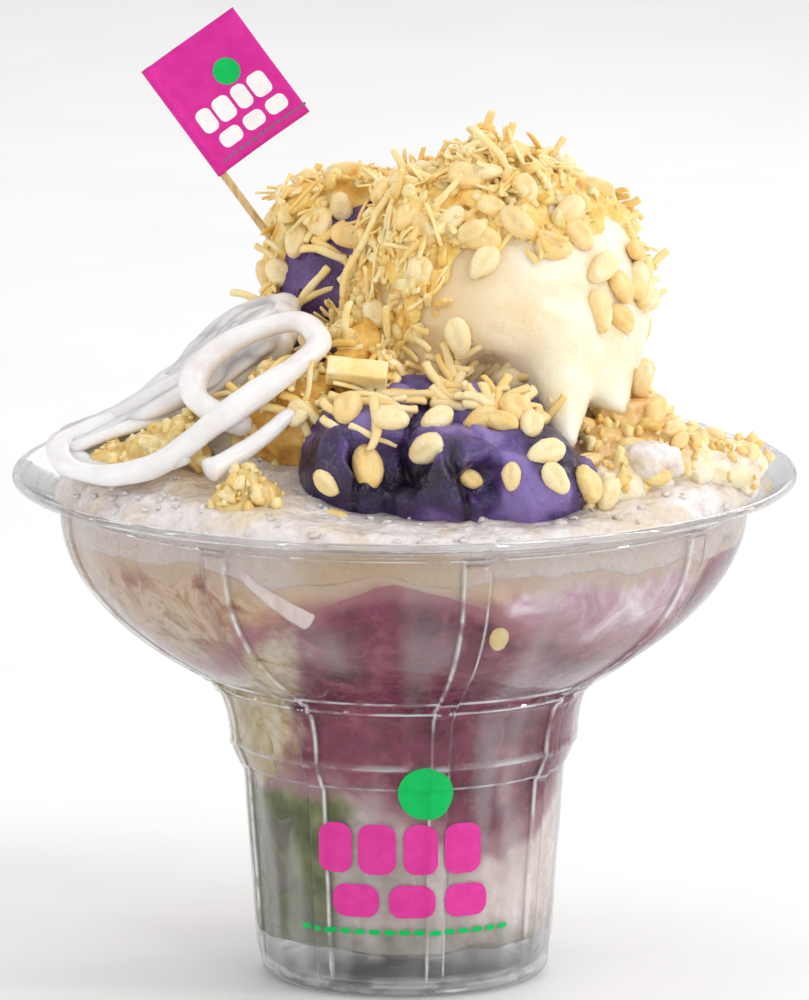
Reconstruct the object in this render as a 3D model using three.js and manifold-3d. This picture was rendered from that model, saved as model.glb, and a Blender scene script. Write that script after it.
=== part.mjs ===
// Halo halo: a clear ribbed sundae cup filled in layers, heaped with shaved ice,
// two scoops, ube jam, coconut strands and grated cheese, with a paper flag on a pick.
// Millimetres, +Z up. The origin is on the cup's axis, at the plane it stands on.
// The front of the dessert, where the ube jam lies, faces -Y.
import * as THREE from "three";
import { mergeVertices } from "three/addons/utils/BufferGeometryUtils.js";
import Module from "manifold-3d";

const wasm = await Module();
wasm.setup();

// ---- driving dimensions ----
const GAP = 0.3; // clearance between touching pieces
const WALL = 0.9; // cup wall
const FOOT_R = 22.4; // outer radius of the foot ring
const FOOT_INNER_R = 19.2; // inner radius of the foot ring
const FOOT_RECESS = 1.4; // height of the recess inside the foot ring
const NECK_R = 31; // radius where the bowl starts
const NECK_Z = 50;
const BOWL_R = 57; // radius where the bowl meets the flange
const BOWL_Z = 80.5;
const RIM_R = 65; // radius of the flange's edge
const RIM_Z = 85; // height of the flange's edge
const BOWL_STEPS = 5; // straight steps along the bowl's curve
const RIBS = 8;
const RIB_PHASE = -78; // degrees, the rib just right of the front
const RIB_EDGE = 4.2; // half angle of a rib at its foot, degrees
const RIB_TOP = 2.6; // half angle of a rib's flat top, degrees
const RIB_HEIGHT = 0.7;
const RIB_STEPS = 6; // straight steps round one rib and one panel
const PANEL_SAG = 0.4; // how far the middle of a flat panel lies inside the round wall
const ROOM_SIDES = 20; // straight steps round the filling
const RIB_LOW = 1.4; // ribs rise out of the wall above this height
const RIB_GROW = 5.6; // height over which a rib grows to its full depth
const RIB_FADE = 14; // height over which a rib fades towards the flange

const SYRUP_Z = 8; // surface of the clear syrup at the bottom
const MOUND_TOP = 95; // crown of the shaved ice
const MOUND_DROP = 10.5; // fall from the crown to the edge of the shaved ice
const MOUND_R = 60; // edge of the shaved ice

const PICK_R = 0.65;
const PICK_LENGTH = 54;
const PICK_LEAN = 36; // degrees from upright, leaning to the left
const PICK_TOP = [-43, 14, 149.8];
const FLAG_LONG = 21.7; // along the pick
const FLAG_WIDE = 19.4; // away from the pick
const FLAG_HEM = 1.6; // pick's axis to the flag's near edge
const FLAG_THICK = 0.5;

const DEG = Math.PI / 180;

// ---- solids ----
function solid(geometry) {
  geometry.deleteAttribute("normal");
  geometry.deleteAttribute("uv");
  const merged = mergeVertices(geometry, 1e-4);
  return new wasm.Manifold(
    new wasm.Mesh({
      numProp: 3,
      vertProperties: merged.attributes.position.array,
      triVerts: new Uint32Array(merged.index.array),
    }),
  );
}

function union(solids) {
  return solids.reduce((all, one) => all.add(one));
}

function cut(base, tools) {
  return tools.reduce((rest, tool) => rest.subtract(tool), base);
}

// A cut can leave crumbs beside the piece; the piece is the largest body.
function largest(body) {
  const bodies = body.decompose();
  return bodies.reduce((a, b) => (b.volume() > a.volume() ? b : a));
}

// Moves every vertex of a geometry by a function of its place.
function shaped(geometry, move) {
  const place = geometry.getAttribute("position");
  const point = new THREE.Vector3();
  for (let i = 0; i < place.count; i++) {
    point.fromBufferAttribute(place, i);
    move(point);
    place.setXYZ(i, point.x, point.y, point.z);
  }
  return geometry;
}

// Smooth unevenness between about -1 and 1, different for each seed.
function unevenness(x, y, z, seed) {
  const a = Math.sin(x * 1.7 + y * 1.1 + seed * 2.3);
  const b = Math.sin(y * 1.9 - z * 1.3 + seed * 3.7);
  const c = Math.sin(z * 1.5 + x * 1.2 - seed * 1.9);
  const d = Math.sin((x + y + z) * 2.6 + seed * 5.1);
  return (a + b + c + 0.6 * d) / 3;
}

// A rounded lump: an ellipsoid whose surface rises and falls by `rough` of its radius.
// `grow` makes the same lump larger by that many millimetres all round.
function lump({ at, radii, rough, knobs = 1.6, seed, detail = 4, turn = 0 }, grow = 0) {
  const geometry = new THREE.IcosahedronGeometry(1, detail);
  shaped(geometry, (p) => {
    const swell = 1 + rough * unevenness(p.x * knobs, p.y * knobs, p.z * knobs, seed);
    p.multiplyScalar(swell);
    p.multiply(new THREE.Vector3(radii[0] + grow, radii[1] + grow, radii[2] + grow));
  });
  geometry.rotateZ(turn * DEG);
  geometry.translate(...at);
  return solid(geometry);
}

// A round strand along a smooth curve through the given points.
// `grow` makes it thicker and longer by that many millimetres all round.
function strand(points, radius, steps, grow = 0) {
  const route = points.map((p) => new THREE.Vector3(...p));
  const beyond = (end, next) => end.clone().sub(next).setLength(grow).add(end);
  route[0] = beyond(route[0], route[1]);
  route[route.length - 1] = beyond(route.at(-1), route.at(-2));
  const section = new THREE.Shape();
  for (let i = 0; i < STRAND_SIDES; i++) {
    const angle = (i * 2 * Math.PI) / STRAND_SIDES;
    const corner = [(radius + grow) * Math.cos(angle), (radius + grow) * Math.sin(angle)];
    if (i === 0) section.moveTo(...corner);
    else section.lineTo(...corner);
  }
  const extrudePath = new THREE.CatmullRomCurve3(route);
  return solid(new THREE.ExtrudeGeometry(section, { extrudePath, steps }));
}

// ---- the cup ----
// Outer profile from the foot ring up to the flange's edge.
function outerProfile() {
  const wall = new THREE.Path();
  wall.moveTo(FOOT_R, 0);
  wall.lineTo(23.7, RIB_LOW);
  wall.lineTo(24.2, RIB_LOW + RIB_GROW);
  wall.lineTo(26.3, 34.5);
  wall.lineTo(26.7, 36.2); // step out to the collar
  wall.lineTo(28, 38.4);
  wall.lineTo(29.9, 48); // neck
  wall.lineTo(NECK_R, NECK_Z);
  const bowl = new THREE.CubicBezierCurve(
    new THREE.Vector2(NECK_R, NECK_Z),
    new THREE.Vector2(44.8, 58),
    new THREE.Vector2(BOWL_R, 67.5),
    new THREE.Vector2(BOWL_R, BOWL_Z),
  ).getPoints(BOWL_STEPS);
  return [...wall.getPoints(), ...bowl.slice(1), new THREE.Vector2(RIM_R, RIM_Z - 1.2)];
}

// The same profile moved inwards by a distance, measured square to the wall.
function inset(profile, distance) {
  return profile.map((point, i) => {
    const before = profile[Math.max(i - 1, 0)];
    const after = profile[Math.min(i + 1, profile.length - 1)];
    const along = after.clone().sub(before).normalize();
    return new THREE.Vector2(point.x - along.y * distance, point.y + along.x * distance);
  });
}

// Offsets in degrees of one sector's segment edges: a flat-topped rib, then a panel.
const PANEL_STEP = (360 / RIBS - 2 * RIB_EDGE) / (RIB_STEPS - 3);
const SECTOR = [
  { angle: -RIB_EDGE, height: 0 },
  { angle: -RIB_TOP, height: 1 },
  { angle: RIB_TOP, height: 1 },
  { angle: RIB_EDGE, height: 0 },
  { angle: RIB_EDGE + PANEL_STEP, height: 0 },
  { angle: RIB_EDGE + 2 * PANEL_STEP, height: 0 },
];

function ribHeight(z) {
  const grown = Math.min(Math.max((z - RIB_LOW) / RIB_GROW, 0), 1);
  const faded = Math.min(Math.max((BOWL_Z - z) / RIB_FADE, 0), 1);
  return RIB_HEIGHT * Math.min(grown, faded);
}

// Turns a profile about the cup's axis and raises the ribs out of its wall.
function ribbed(profile) {
  const segments = RIBS * RIB_STEPS;
  const geometry = new THREE.LatheGeometry(profile, segments);
  geometry.rotateX(Math.PI / 2);
  shaped(geometry, (p) => {
    const radius = Math.hypot(p.x, p.y);
    const turn = Math.atan2(p.y, p.x) / (2 * Math.PI);
    const step = (Math.round(turn * segments) + segments) % segments;
    const edge = SECTOR[step % RIB_STEPS];
    const rib = Math.floor(step / RIB_STEPS);
    const angle = (RIB_PHASE + (rib * 360) / RIBS + edge.angle) * DEG;
    const rise = radius > FOOT_INNER_R ? edge.height * ribHeight(p.z) : 0;
    p.set((radius + rise) * Math.cos(angle), (radius + rise) * Math.sin(angle), p.z);
  });
  return solid(geometry);
}

function makeCup(outer) {
  const floorZ = FOOT_RECESS + WALL;
  const inner = inset(outer, WALL).filter((p) => p.y > floorZ + 1);
  return ribbed([
    new THREE.Vector2(0, FOOT_RECESS),
    new THREE.Vector2(FOOT_INNER_R - 0.8, FOOT_RECESS),
    new THREE.Vector2(FOOT_INNER_R, 0),
    ...outer,
    new THREE.Vector2(RIM_R, RIM_Z),
    new THREE.Vector2(RIM_R - 1, RIM_Z),
    ...inner.slice(0, -1).reverse(),
    new THREE.Vector2(FOOT_R - 0.6, floorZ),
    new THREE.Vector2(0, floorZ),
  ]);
}

// ---- what fills the cup ----
// Everything that fits inside the cup's wall, and the open space above it.
function makeRoom(outer) {
  const floorZ = FOOT_RECESS + WALL + GAP;
  const inside = WALL + PANEL_SAG + GAP;
  const wall = inset(outer, inside).filter((p) => p.y > floorZ + 1 && p.x < MOUND_R);
  const profile = [
    new THREE.Vector2(0, floorZ),
    new THREE.Vector2(FOOT_R - 1.2, floorZ),
    ...wall,
    new THREE.Vector2(MOUND_R, RIM_Z - 1.2),
    new THREE.Vector2(MOUND_R, MOUND_TOP + 20),
    new THREE.Vector2(0, MOUND_TOP + 20),
  ];
  const geometry = new THREE.LatheGeometry(profile, ROOM_SIDES);
  geometry.rotateX(Math.PI / 2);
  return solid(geometry);
}

// Everything below an uneven surface, as a block wider than what it divides.
function below(surface, { reach, rings, segments }, gap = 0) {
  const radii = Array.from({ length: rings }, (_, i) => (reach * (i + 1)) / rings);
  const geometry = new THREE.LatheGeometry(
    [
      new THREE.Vector2(0, -5),
      new THREE.Vector2(reach, -5),
      ...radii.reverse().map((r) => new THREE.Vector2(r, 1)),
      new THREE.Vector2(0, 1),
    ],
    segments,
  );
  geometry.rotateX(Math.PI / 2);
  shaped(geometry, (p) => {
    if (p.z > 0) p.z = surface(p.x, p.y) + gap;
  });
  return solid(geometry);
}

// Heights of the surfaces between the layers.
function milkTop(x, y) {
  const dip = 12 * Math.exp(-((x - 11) ** 2 + (y + 18) ** 2) / 260);
  return 36 - dip + 1.5 * unevenness(x / 9, y / 9, 0, 2);
}

function ubeTop(x, y) {
  const crown = 13 * Math.exp(-((x + 2) ** 2 + (y + 40) ** 2) / 700);
  const rightEdge = 11 / (1 + Math.exp((44 - x) / 3));
  return 61 + crown + rightEdge + 1.6 * unevenness(x / 10, y / 10, 0, 5);
}

function creamTop(x, y) {
  const front = 4 / (1 + Math.exp((y + 20) / 6));
  return 73 + front + 1.4 * unevenness(x / 9, y / 9, 0, 8);
}

// The shaved ice rises to a shoulder under the strands and dips under the jam in front.
function moundTop(x, y) {
  const out = Math.min(Math.hypot(x, y) / MOUND_R, 1.1);
  const shoulder = 10 * Math.exp(-((x + 25) ** 2 + (y + 5) ** 2) / 260);
  const dip = 6 * Math.exp(-((x - 7) ** 2) / 700 - (y + 38) ** 2 / 260);
  const rough = 1.2 * unevenness(x / 7, y / 7, 0, 11) * (1.1 - out);
  return MOUND_TOP - MOUND_DROP * out ** 2.4 + shoulder - dip + rough;
}

// The surfaces' spans and how finely each is divided.
const IN_FOOT = { reach: 33, rings: 3, segments: 14 };
const IN_BOWL = { reach: 63, rings: 4, segments: 14 };
const HEAPED = { reach: 66, rings: 6, segments: 20 };

// Green jelly and yellow jackfruit lie against the wall on the left of the foot and the collar.
const greenJelly = { at: [-19, -6, 23], radii: [7.5, 13, 12], rough: 0.08, seed: 3, detail: 2 };
const collarFruit = { at: [-22, -9, 41], radii: [6.5, 9, 8.6], rough: 0.1, seed: 9, detail: 2 };

function makeFilling(room) {
  const syrupTop = () => SYRUP_Z;
  const layer = (top, topSpan, bottom, bottomSpan) =>
    largest(
      cut(room.intersect(below(top, topSpan)), [
        below(bottom, bottomSpan, GAP),
        lump(greenJelly, GAP),
        lump(collarFruit, GAP),
      ]),
    );
  return {
    green_jelly: room.intersect(lump(greenJelly)),
    collar_jackfruit: largest(cut(room.intersect(lump(collarFruit)), [lump(greenJelly, GAP)])),
    clear_syrup: room.intersect(below(syrupTop, IN_FOOT)),
    milk_ice: layer(milkTop, IN_FOOT, syrupTop, IN_FOOT),
    ube_ice: layer(ubeTop, IN_BOWL, milkTop, IN_FOOT),
    cream_ice: layer(creamTop, IN_BOWL, ubeTop, IN_BOWL),
    shaved_ice: layer(moundTop, HEAPED, creamTop, IN_BOWL),
  };
}

// ---- the toppings ----
const iceCream = { at: [15, 2, 110], radii: [27, 25, 26], rough: 0.05, seed: 1 };
const drips = [
  { at: [16, -20, 100], radii: [5, 4.5, 10], rough: 0.05, seed: 4, detail: 1 },
  { at: [29, -16, 98], radii: [7.5, 6, 11], rough: 0.06, seed: 6, detail: 1 },
  { at: [37, -5, 98], radii: [6.5, 9, 11], rough: 0.06, seed: 7, detail: 1 },
];
const backScoop = { at: [-5, 14, 112], radii: [17, 16.5, 19.5], rough: 0.07, seed: 12, detail: 3 };
const frontJam = {
  at: [7, -34, 93.5], radii: [23.5, 16.5, 12.5], rough: 0.2, knobs: 2.3, seed: 14,
};
const topCheese = {
  at: [10, 1, 116.5], radii: [25.5, 24, 24], rough: 0.07, knobs: 3, seed: 21, detail: 3,
};
const cheesePeak = { at: [13.5, 0, 136.5], radii: [10, 9, 6.5], rough: 0.1, seed: 23, detail: 2 };
const backCheese = { at: [-10.5, 13, 117], radii: [14.5, 16, 16.5], rough: 0.08, seed: 25, detail: 2 };
const valleyCheese = { at: [-13, -23, 96], radii: [15, 12, 8.8], rough: 0.12, seed: 27, detail: 2 };
const rightCrumbs = {
  at: [44, -14, 87], radii: [12, 20, 5.5], rough: 0.12, seed: 29, detail: 3, turn: -14,
};
const leftFruit = {
  at: [-43, -20.5, 91], radii: [7.5, 5, 3.6], rough: 0.12, seed: 31, detail: 2, turn: 12,
};
const frontFruit = {
  at: [-26, -42, 88.5], radii: [5.5, 4.5, 5], rough: 0.12, seed: 33, detail: 2, turn: -20,
};

// The long coconut strand: round the left of the heap, up over it and back in a loop.
const STRAND_SIDES = 6;
const LOOP_R = 2.2;
const LOOP_STEPS = 34;
const loopPath = [
  [-38, -7, 101.5],
  [-44, -11, 96],
  [-51.5, -14, 94],
  [-56.5, -18, 91.6],
  [-54.5, -25, 89.6],
  [-48, -31, 89.6],
  [-40, -35, 92.5],
  [-31.8, -34.5, 98.5],
  [-25, -32.5, 103],
  [-17.5, -29, 107.5],
  [-14, -24, 110.5],
  [-18, -19.5, 113],
  [-27, -18.5, 110.2],
  [-33.5, -20, 105.5],
  [-34.5, -24, 102],
  [-31, -28.5, 99.2],
];

// The bundle behind it, as thick ropes that run together from the scoop to the rim.
const BUNDLE_R = 4.4;
const BUNDLE_STEPS = 6;
const bundlePaths = [
  [[-17, 0, 111], [-30, 0, 107], [-42, -2, 98], [-51, -6, 90]],
  [[-17, -7, 111], [-29, -8, 106], [-41, -12, 96], [-50, -17, 88.5]],
  [[-15, -14, 108], [-26, -15, 103], [-37, -20, 94.5], [-45, -25, 87.5]],
  [[-22, -24, 98], [-29, -27, 95], [-36, -29, 91], [-42, -32, 87]],
  [[-19, 7, 107], [-31, 8, 103], [-42, 7, 95], [-50, 4, 89]],
];

// A stick of cheese as a bevelled bar.
const STICK = { at: [-8, -28, 105.6], size: [8.2, 2.6, 3], turn: -14 };

function makeStick(grow = 0) {
  const [length, depth, height] = STICK.size;
  const outline = new THREE.Shape();
  outline.moveTo(-length / 2 - grow, -height / 2 - grow);
  outline.lineTo(length / 2 + grow, -height / 2 - grow);
  outline.lineTo(length / 2 + grow - 0.4, height / 2 + grow);
  outline.lineTo(-length / 2 - grow + 0.5, height / 2 + grow);
  const geometry = new THREE.ExtrudeGeometry(outline, {
    depth: depth + 2 * grow,
    bevelEnabled: false,
  });
  geometry.translate(0, 0, -depth / 2 - grow);
  geometry.rotateX(Math.PI / 2);
  geometry.rotateY(STICK.turn * DEG);
  geometry.translate(...STICK.at);
  return solid(geometry);
}

// ---- the flag on its pick ----
// Both are made upright with the pick's top at the origin, then leant over and placed.
function onPick(geometry) {
  geometry.rotateY(-PICK_LEAN * DEG);
  geometry.translate(...PICK_TOP);
  return solid(geometry);
}

function makePick(grow = 0) {
  const geometry = new THREE.CylinderGeometry(PICK_R + grow, PICK_R + grow, PICK_LENGTH + grow, 10);
  geometry.rotateX(Math.PI / 2);
  geometry.translate(0, 0, -(PICK_LENGTH + grow) / 2);
  return onPick(geometry);
}

// The paper runs round the pick in a tube and back on itself as one flat leaf.
function makeFlag() {
  const tube = PICK_R + GAP + FLAG_THICK;
  const leaf = FLAG_WIDE - FLAG_HEM;
  const lift = Math.asin(FLAG_THICK / 2 / tube);
  const outline = new THREE.Shape();
  outline.moveTo(tube * Math.cos(lift), FLAG_THICK / 2);
  outline.absarc(0, 0, tube, lift, 2 * Math.PI - lift, false);
  outline.lineTo(leaf, -FLAG_THICK / 2);
  outline.lineTo(leaf, FLAG_THICK / 2);
  const bore = new THREE.Path();
  bore.absarc(0, 0, PICK_R + GAP, 0, 2 * Math.PI, true);
  outline.holes.push(bore);
  const geometry = new THREE.ExtrudeGeometry(outline, {
    depth: FLAG_LONG,
    bevelEnabled: false,
    curveSegments: 8,
  });
  geometry.translate(0, 0, -FLAG_LONG - 0.2);
  return onPick(geometry);
}

// ---- materials ----
function material(color, roughness, extra = {}) {
  return new THREE.MeshStandardMaterial({ color, roughness, metalness: 0, ...extra });
}

const clear = (color, opacity) => material(color, 0.08, { transparent: true, opacity });

const materials = {
  cup: clear(0xe8eeee, 0.3),
  clear_syrup: clear(0xb9bcb4, 0.6),
  milk_ice: material(0xbfb2ae, 0.4),
  ube_ice: material(0x7c4d58, 0.4),
  cream_ice: material(0xbba287, 0.45),
  shaved_ice: material(0xefe6e2, 0.5),
  green_jelly: material(0x66653f, 0.2),
  collar_jackfruit: material(0xc0a863, 0.35),
  ice_cream_scoop: material(0xf3e2c0, 0.35),
  back_ube_scoop: material(0x5b4069, 0.5),
  front_ube_jam: material(0x44305c, 0.25),
  top_cheese: material(0xe2c07a, 0.6),
  back_cheese: material(0xdcc084, 0.6),
  valley_cheese: material(0xd9b260, 0.6),
  right_crumbs: material(0xe3cf9f, 0.6),
  left_jackfruit: material(0xd7ac55, 0.35),
  front_jackfruit: material(0xdcb765, 0.35),
  coconut_bundle: material(0xe6dedb, 0.15),
  coconut_strand: material(0xefe8e6, 0.12),
  cheese_stick: material(0xdbb974, 0.55),
  flag_pick: material(0xd9bf86, 0.7),
  flag_paper: material(0xdc41a3, 0.6),
};

// ---- assembly ----
function makeToppings() {
  const mound = below(moundTop, HEAPED, GAP);
  const pickHole = makePick(GAP);
  const creamLumps = [iceCream, ...drips];
  const laid = [mound]; // what the next piece is laid on, each with its clearance
  const lay = (body, hole) => {
    const made = largest(cut(body, laid));
    laid.push(hole);
    return made;
  };
  const lumps = (shapes, grow = 0) => union(shapes.map((shape) => lump(shape, grow)));
  const layLumps = (...shapes) => lay(cut(lumps(shapes), [pickHole]), lumps(shapes, GAP));
  const loop = (grow) => strand(loopPath, LOOP_R, LOOP_STEPS, grow);
  const ropes = (grow) =>
    union(bundlePaths.map((path) => strand(path, BUNDLE_R, BUNDLE_STEPS, grow)));
  return {
    ice_cream_scoop: lay(lumps(creamLumps), lumps(creamLumps, GAP)),
    front_ube_jam: layLumps(frontJam),
    back_ube_scoop: layLumps(backScoop),
    coconut_strand: lay(loop(0), loop(GAP)),
    coconut_bundle: lay(ropes(0), ropes(GAP)),
    top_cheese: layLumps(topCheese, cheesePeak),
    back_cheese: layLumps(backCheese),
    valley_cheese: layLumps(valleyCheese),
    cheese_stick: lay(makeStick(), makeStick(GAP)),
    left_jackfruit: layLumps(leftFruit),
    front_jackfruit: layLumps(frontFruit),
    right_crumbs: layLumps(rightCrumbs),
    flag_pick: makePick(),
    flag_paper: makeFlag(),
  };
}

// A solid as a named mesh with its own material.
function piece(name, body) {
  const { numProp, vertProperties, triVerts } = body.getMesh();
  const geometry = new THREE.BufferGeometry();
  geometry.setAttribute("position", new THREE.BufferAttribute(vertProperties, numProp));
  geometry.setIndex(new THREE.BufferAttribute(triVerts, 1));
  geometry.computeVertexNormals();
  const mesh = new THREE.Mesh(geometry, materials[name]);
  mesh.name = name;
  return mesh;
}

const profile = outerProfile();
const bodies = {
  cup: makeCup(profile),
  ...makeFilling(makeRoom(profile)),
  ...makeToppings(),
};

const dessert = new THREE.Group();
for (const [name, body] of Object.entries(bodies)) {
  dessert.add(piece(name, body));
}

export default dessert;
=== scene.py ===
"""Halo halo in its clear ribbed sundae cup: the looks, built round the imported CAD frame.

Sizes are in millimetres and become metres in make_mesh. The cup, the pieces in the wall and the
cheese stick take their places from the frame's boxes, and the toppings stand where the CAD's
solids do. A soft topping is the surface where a distance field is zero. Small things are closed
bodies laid on those surfaces, joined into one mesh for each kind.
"""

import math

import bpy
import numpy as np
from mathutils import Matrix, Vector
from mathutils.bvhtree import BVHTree


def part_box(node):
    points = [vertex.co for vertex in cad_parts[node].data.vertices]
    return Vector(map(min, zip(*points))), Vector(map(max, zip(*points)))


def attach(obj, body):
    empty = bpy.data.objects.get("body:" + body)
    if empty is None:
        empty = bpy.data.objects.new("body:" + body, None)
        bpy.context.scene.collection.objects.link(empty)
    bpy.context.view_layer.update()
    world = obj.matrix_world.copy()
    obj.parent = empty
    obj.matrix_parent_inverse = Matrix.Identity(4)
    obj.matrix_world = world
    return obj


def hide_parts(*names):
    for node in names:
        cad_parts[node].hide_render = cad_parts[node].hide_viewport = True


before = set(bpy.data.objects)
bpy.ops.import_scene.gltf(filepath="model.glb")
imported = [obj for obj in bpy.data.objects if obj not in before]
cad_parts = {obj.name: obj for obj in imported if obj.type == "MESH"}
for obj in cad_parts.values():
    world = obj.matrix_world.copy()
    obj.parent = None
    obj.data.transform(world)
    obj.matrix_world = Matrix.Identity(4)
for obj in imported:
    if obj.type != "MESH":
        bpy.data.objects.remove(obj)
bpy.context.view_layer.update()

MM = 0.001
TAU = 2 * math.pi
rng = np.random.default_rng(20)


# ---------------------------------------------------------------- meshes
def node_box(name):
    """(low corner, high corner) of a CAD node, in millimetres."""
    low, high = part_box(name)
    return np.array(low) / MM, np.array(high) / MM


def make_mesh(name, points, faces, material, slot, nodes=(), smooth=True, sharp=None):
    """A piece from points in millimetres, which rides on the dessert's one body."""
    mesh = bpy.data.meshes.new(name)
    mesh.from_pydata((np.asarray(points) * MM).tolist(), [], [list(map(int, f)) for f in faces])
    mesh.validate()
    mesh.update()
    if smooth:
        mesh.shade_smooth()
        if sharp:
            mesh.set_sharp_from_angle(angle=math.radians(sharp))
    piece = bpy.data.objects.new(name, mesh)
    bpy.context.scene.collection.objects.link(piece)
    mesh.materials.append(material)
    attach(piece, "root")
    if nodes:
        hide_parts(*nodes)
    return piece


def add_attribute(piece, name, values):
    layer = piece.data.attributes.new(name, "FLOAT", "POINT")
    layer.data.foreach_set("value", np.asarray(values, dtype=np.float32))


class Heap:
    """Collects many small bodies into the points and faces of one mesh."""

    def __init__(self):
        self.points, self.faces, self.count = [], [], 0

    def add(self, points, faces):
        self.points.append(points)
        self.faces += [tuple(i + self.count for i in face) for face in faces]
        self.count += len(points)

    def make(self, name, material, slot, nodes=(), smooth=True):
        """The joined mesh. Its attribute `own` is one random share for each body in it."""
        piece = make_mesh(name, np.vstack(self.points), self.faces, material, slot, nodes, smooth)
        own = np.random.default_rng(len(self.points)).random(len(self.points))
        add_attribute(piece, "own", np.repeat(own, [len(p) for p in self.points]))
        return piece


def ring_faces(rows, n, inward=False, closed=False):
    """Faces between rows of n points that each run round, and over both ends unless the last row
    joins the first."""
    faces = []
    for i in range(rows if closed else rows - 1):
        here, there = i * n, (i + 1) % rows * n
        for j in range(n):
            k = (j + 1) % n
            a, b, c, d = here + j, here + k, there + k, there + j
            faces.append((a, d, c, b) if inward else (a, b, c, d))
    if not closed:
        for end in (tuple(range(n))[::-1], tuple(range((rows - 1) * n, rows * n))):
            faces.append(end[::-1] if inward else end)
    return faces


# ---------------------------------------------------------------- noise
def lattice(cells, seed):
    """A fixed random number between -1 and 1 for every whole-number cell."""
    mixed = cells[..., 0] * 374761393 + cells[..., 1] * 668265263 + cells[..., 2] * 1440662683
    mixed = (mixed + seed * 974634777) & 0xFFFFFFFF
    mixed = ((mixed ^ (mixed >> 13)) * 1274126177) & 0xFFFFFFFF
    return ((mixed ^ (mixed >> 16)) & 0xFFFFFF) / float(0x7FFFFF) - 1


def noise(points, size, seed=0):
    """Smooth noise between -1 and 1 whose features are about `size` millimetres across."""
    scaled = np.asarray(points) / size + 31.7 * (seed + 1)
    cell = np.floor(scaled).astype(np.int64)
    part = scaled - cell
    part = part * part * (3 - 2 * part)
    total = 0
    for corner in np.ndindex(2, 2, 2):
        x, y, z = (part[..., k] if corner[k] else 1 - part[..., k] for k in range(3))
        total = total + x * y * z * lattice(cell + corner, seed)
    return total


def noise2(x, y, size, seed=0):
    return noise(np.stack([x, y, np.zeros_like(x)], axis=-1), size, seed)


def ridges(p, size, seed):
    """Noise with sharp valleys, for crumbly surfaces."""
    return np.abs(noise(p, size, seed)) - 0.35


def spread(value, low, high):
    t = np.clip((value - low) / (high - low), 0, 1)
    return t * t * (3 - 2 * t)


# ---------------------------------------------------------------- soft bodies from distance fields
def ellipsoid(p, centre, radii):
    q = (p - centre) / radii
    near = np.sqrt((q * q).sum(-1)) + 1e-6
    steep = np.sqrt(((q / radii) ** 2).sum(-1)) + 1e-6
    return near * (near - 1) / steep


def cone(p, start, end, r_start, r_end):
    """A rounded rope from start to end whose radius changes evenly."""
    start, end = np.array(start, float), np.array(end, float)
    along = end - start
    t = np.clip(((p - start) @ along) / (along @ along), 0, 1)
    gap = np.sqrt(((p - start - t[..., None] * along) ** 2).sum(-1))
    return gap - (r_start + (r_end - r_start) * t)


def blend_in(a, b, soft):
    """The union of two fields, with the crease between them rounded over `soft` millimetres."""
    h = np.clip(0.5 + 0.5 * (b - a) / soft, 0, 1)
    return b + (a - b) * h - soft * h * (1 - h)


def blobs_field(p, blobs):
    """Ellipsoids run together: (centre, radii, softness of its crease) for each."""
    body = ellipsoid(p, *blobs[0][:2])
    for centre, radii, soft in blobs[1:]:
        body = blend_in(body, ellipsoid(p, centre, radii), soft)
    return body


def carve(body, p, hollows, soft):
    for centre, radii in hollows:
        body = -blend_in(-body, ellipsoid(p, centre, radii), soft)
    return body


def lump_field(blobs, seed, rough, soft):
    """A rough lump of (centre, radii) ellipsoids."""
    soft_blobs = [(centre, radii, soft) for centre, radii in blobs]
    return lambda p: (
        blobs_field(p, soft_blobs) + rough * noise(p, 3.5, seed) + 0.3 * rough * noise(p, 1.3, seed + 1)
    )


def grid_skin(field, low, step):
    """Points and faces of the closed surface where a sampled field passes through zero."""
    inside = field < 0
    cells = tuple(n - 1 for n in field.shape)
    count = np.zeros(cells, dtype=np.int8)
    for corner in np.ndindex(2, 2, 2):
        count += inside[tuple(slice(c, c + n) for c, n in zip(corner, cells))]
    mixed = (count > 0) & (count < 8)
    where = np.argwhere(mixed)
    index = -np.ones(cells, dtype=np.int64)
    index[mixed] = np.arange(len(where))
    total, crossings = np.zeros((len(where), 3)), np.zeros(len(where))
    unit = np.eye(3, dtype=int)
    for axis in range(3):
        for a, b in np.ndindex(2, 2):
            offset = np.insert([a, b], axis, 0)
            f0 = field[tuple((where + offset).T)]
            f1 = field[tuple((where + offset + unit[axis]).T)]
            cross = (f0 < 0) != (f1 < 0)
            t = np.where(cross, f0 / np.where(cross, f0 - f1, 1), 0)
            total += cross[:, None] * (offset + t[:, None] * unit[axis])
            crossings += cross
    points = low + (where + total / crossings[:, None]) * step
    faces = []
    for axis, (u, v) in enumerate(((1, 2), (2, 0), (0, 1))):
        first = [slice(1, n - 1) for n in field.shape]
        second = list(first)
        first[axis] = slice(0, field.shape[axis] - 1)
        second[axis] = slice(1, field.shape[axis])
        a, b = inside[tuple(first)], inside[tuple(second)]
        base = np.argwhere(a != b) + unit[u] + unit[v]
        turned = b[a != b]
        quad = [index[tuple((base - s).T)] for s in (unit[u] + unit[v], unit[v], 0 * unit[u], unit[u])]
        quad = np.stack(quad, axis=1)
        quad[turned] = quad[turned][:, ::-1]
        faces.append(quad)
    return points, np.vstack(faces)


def soft_body(field, low, high, step):
    """Points and faces of field(points) = 0 within a box, sampled every `step` millimetres."""
    low, high = np.array(low, float), np.array(high, float)
    axes = [np.arange(a, b + step, step) for a, b in zip(low, high)]
    values = field(np.stack(np.meshgrid(*axes, indexing="ij"), axis=-1))
    for axis in range(3):
        edge = [slice(None)] * 3
        for side in (0, -1):
            edge[axis] = side
            values[tuple(edge)] = np.maximum(values[tuple(edge)], step)
    return grid_skin(values, low, step)


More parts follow.
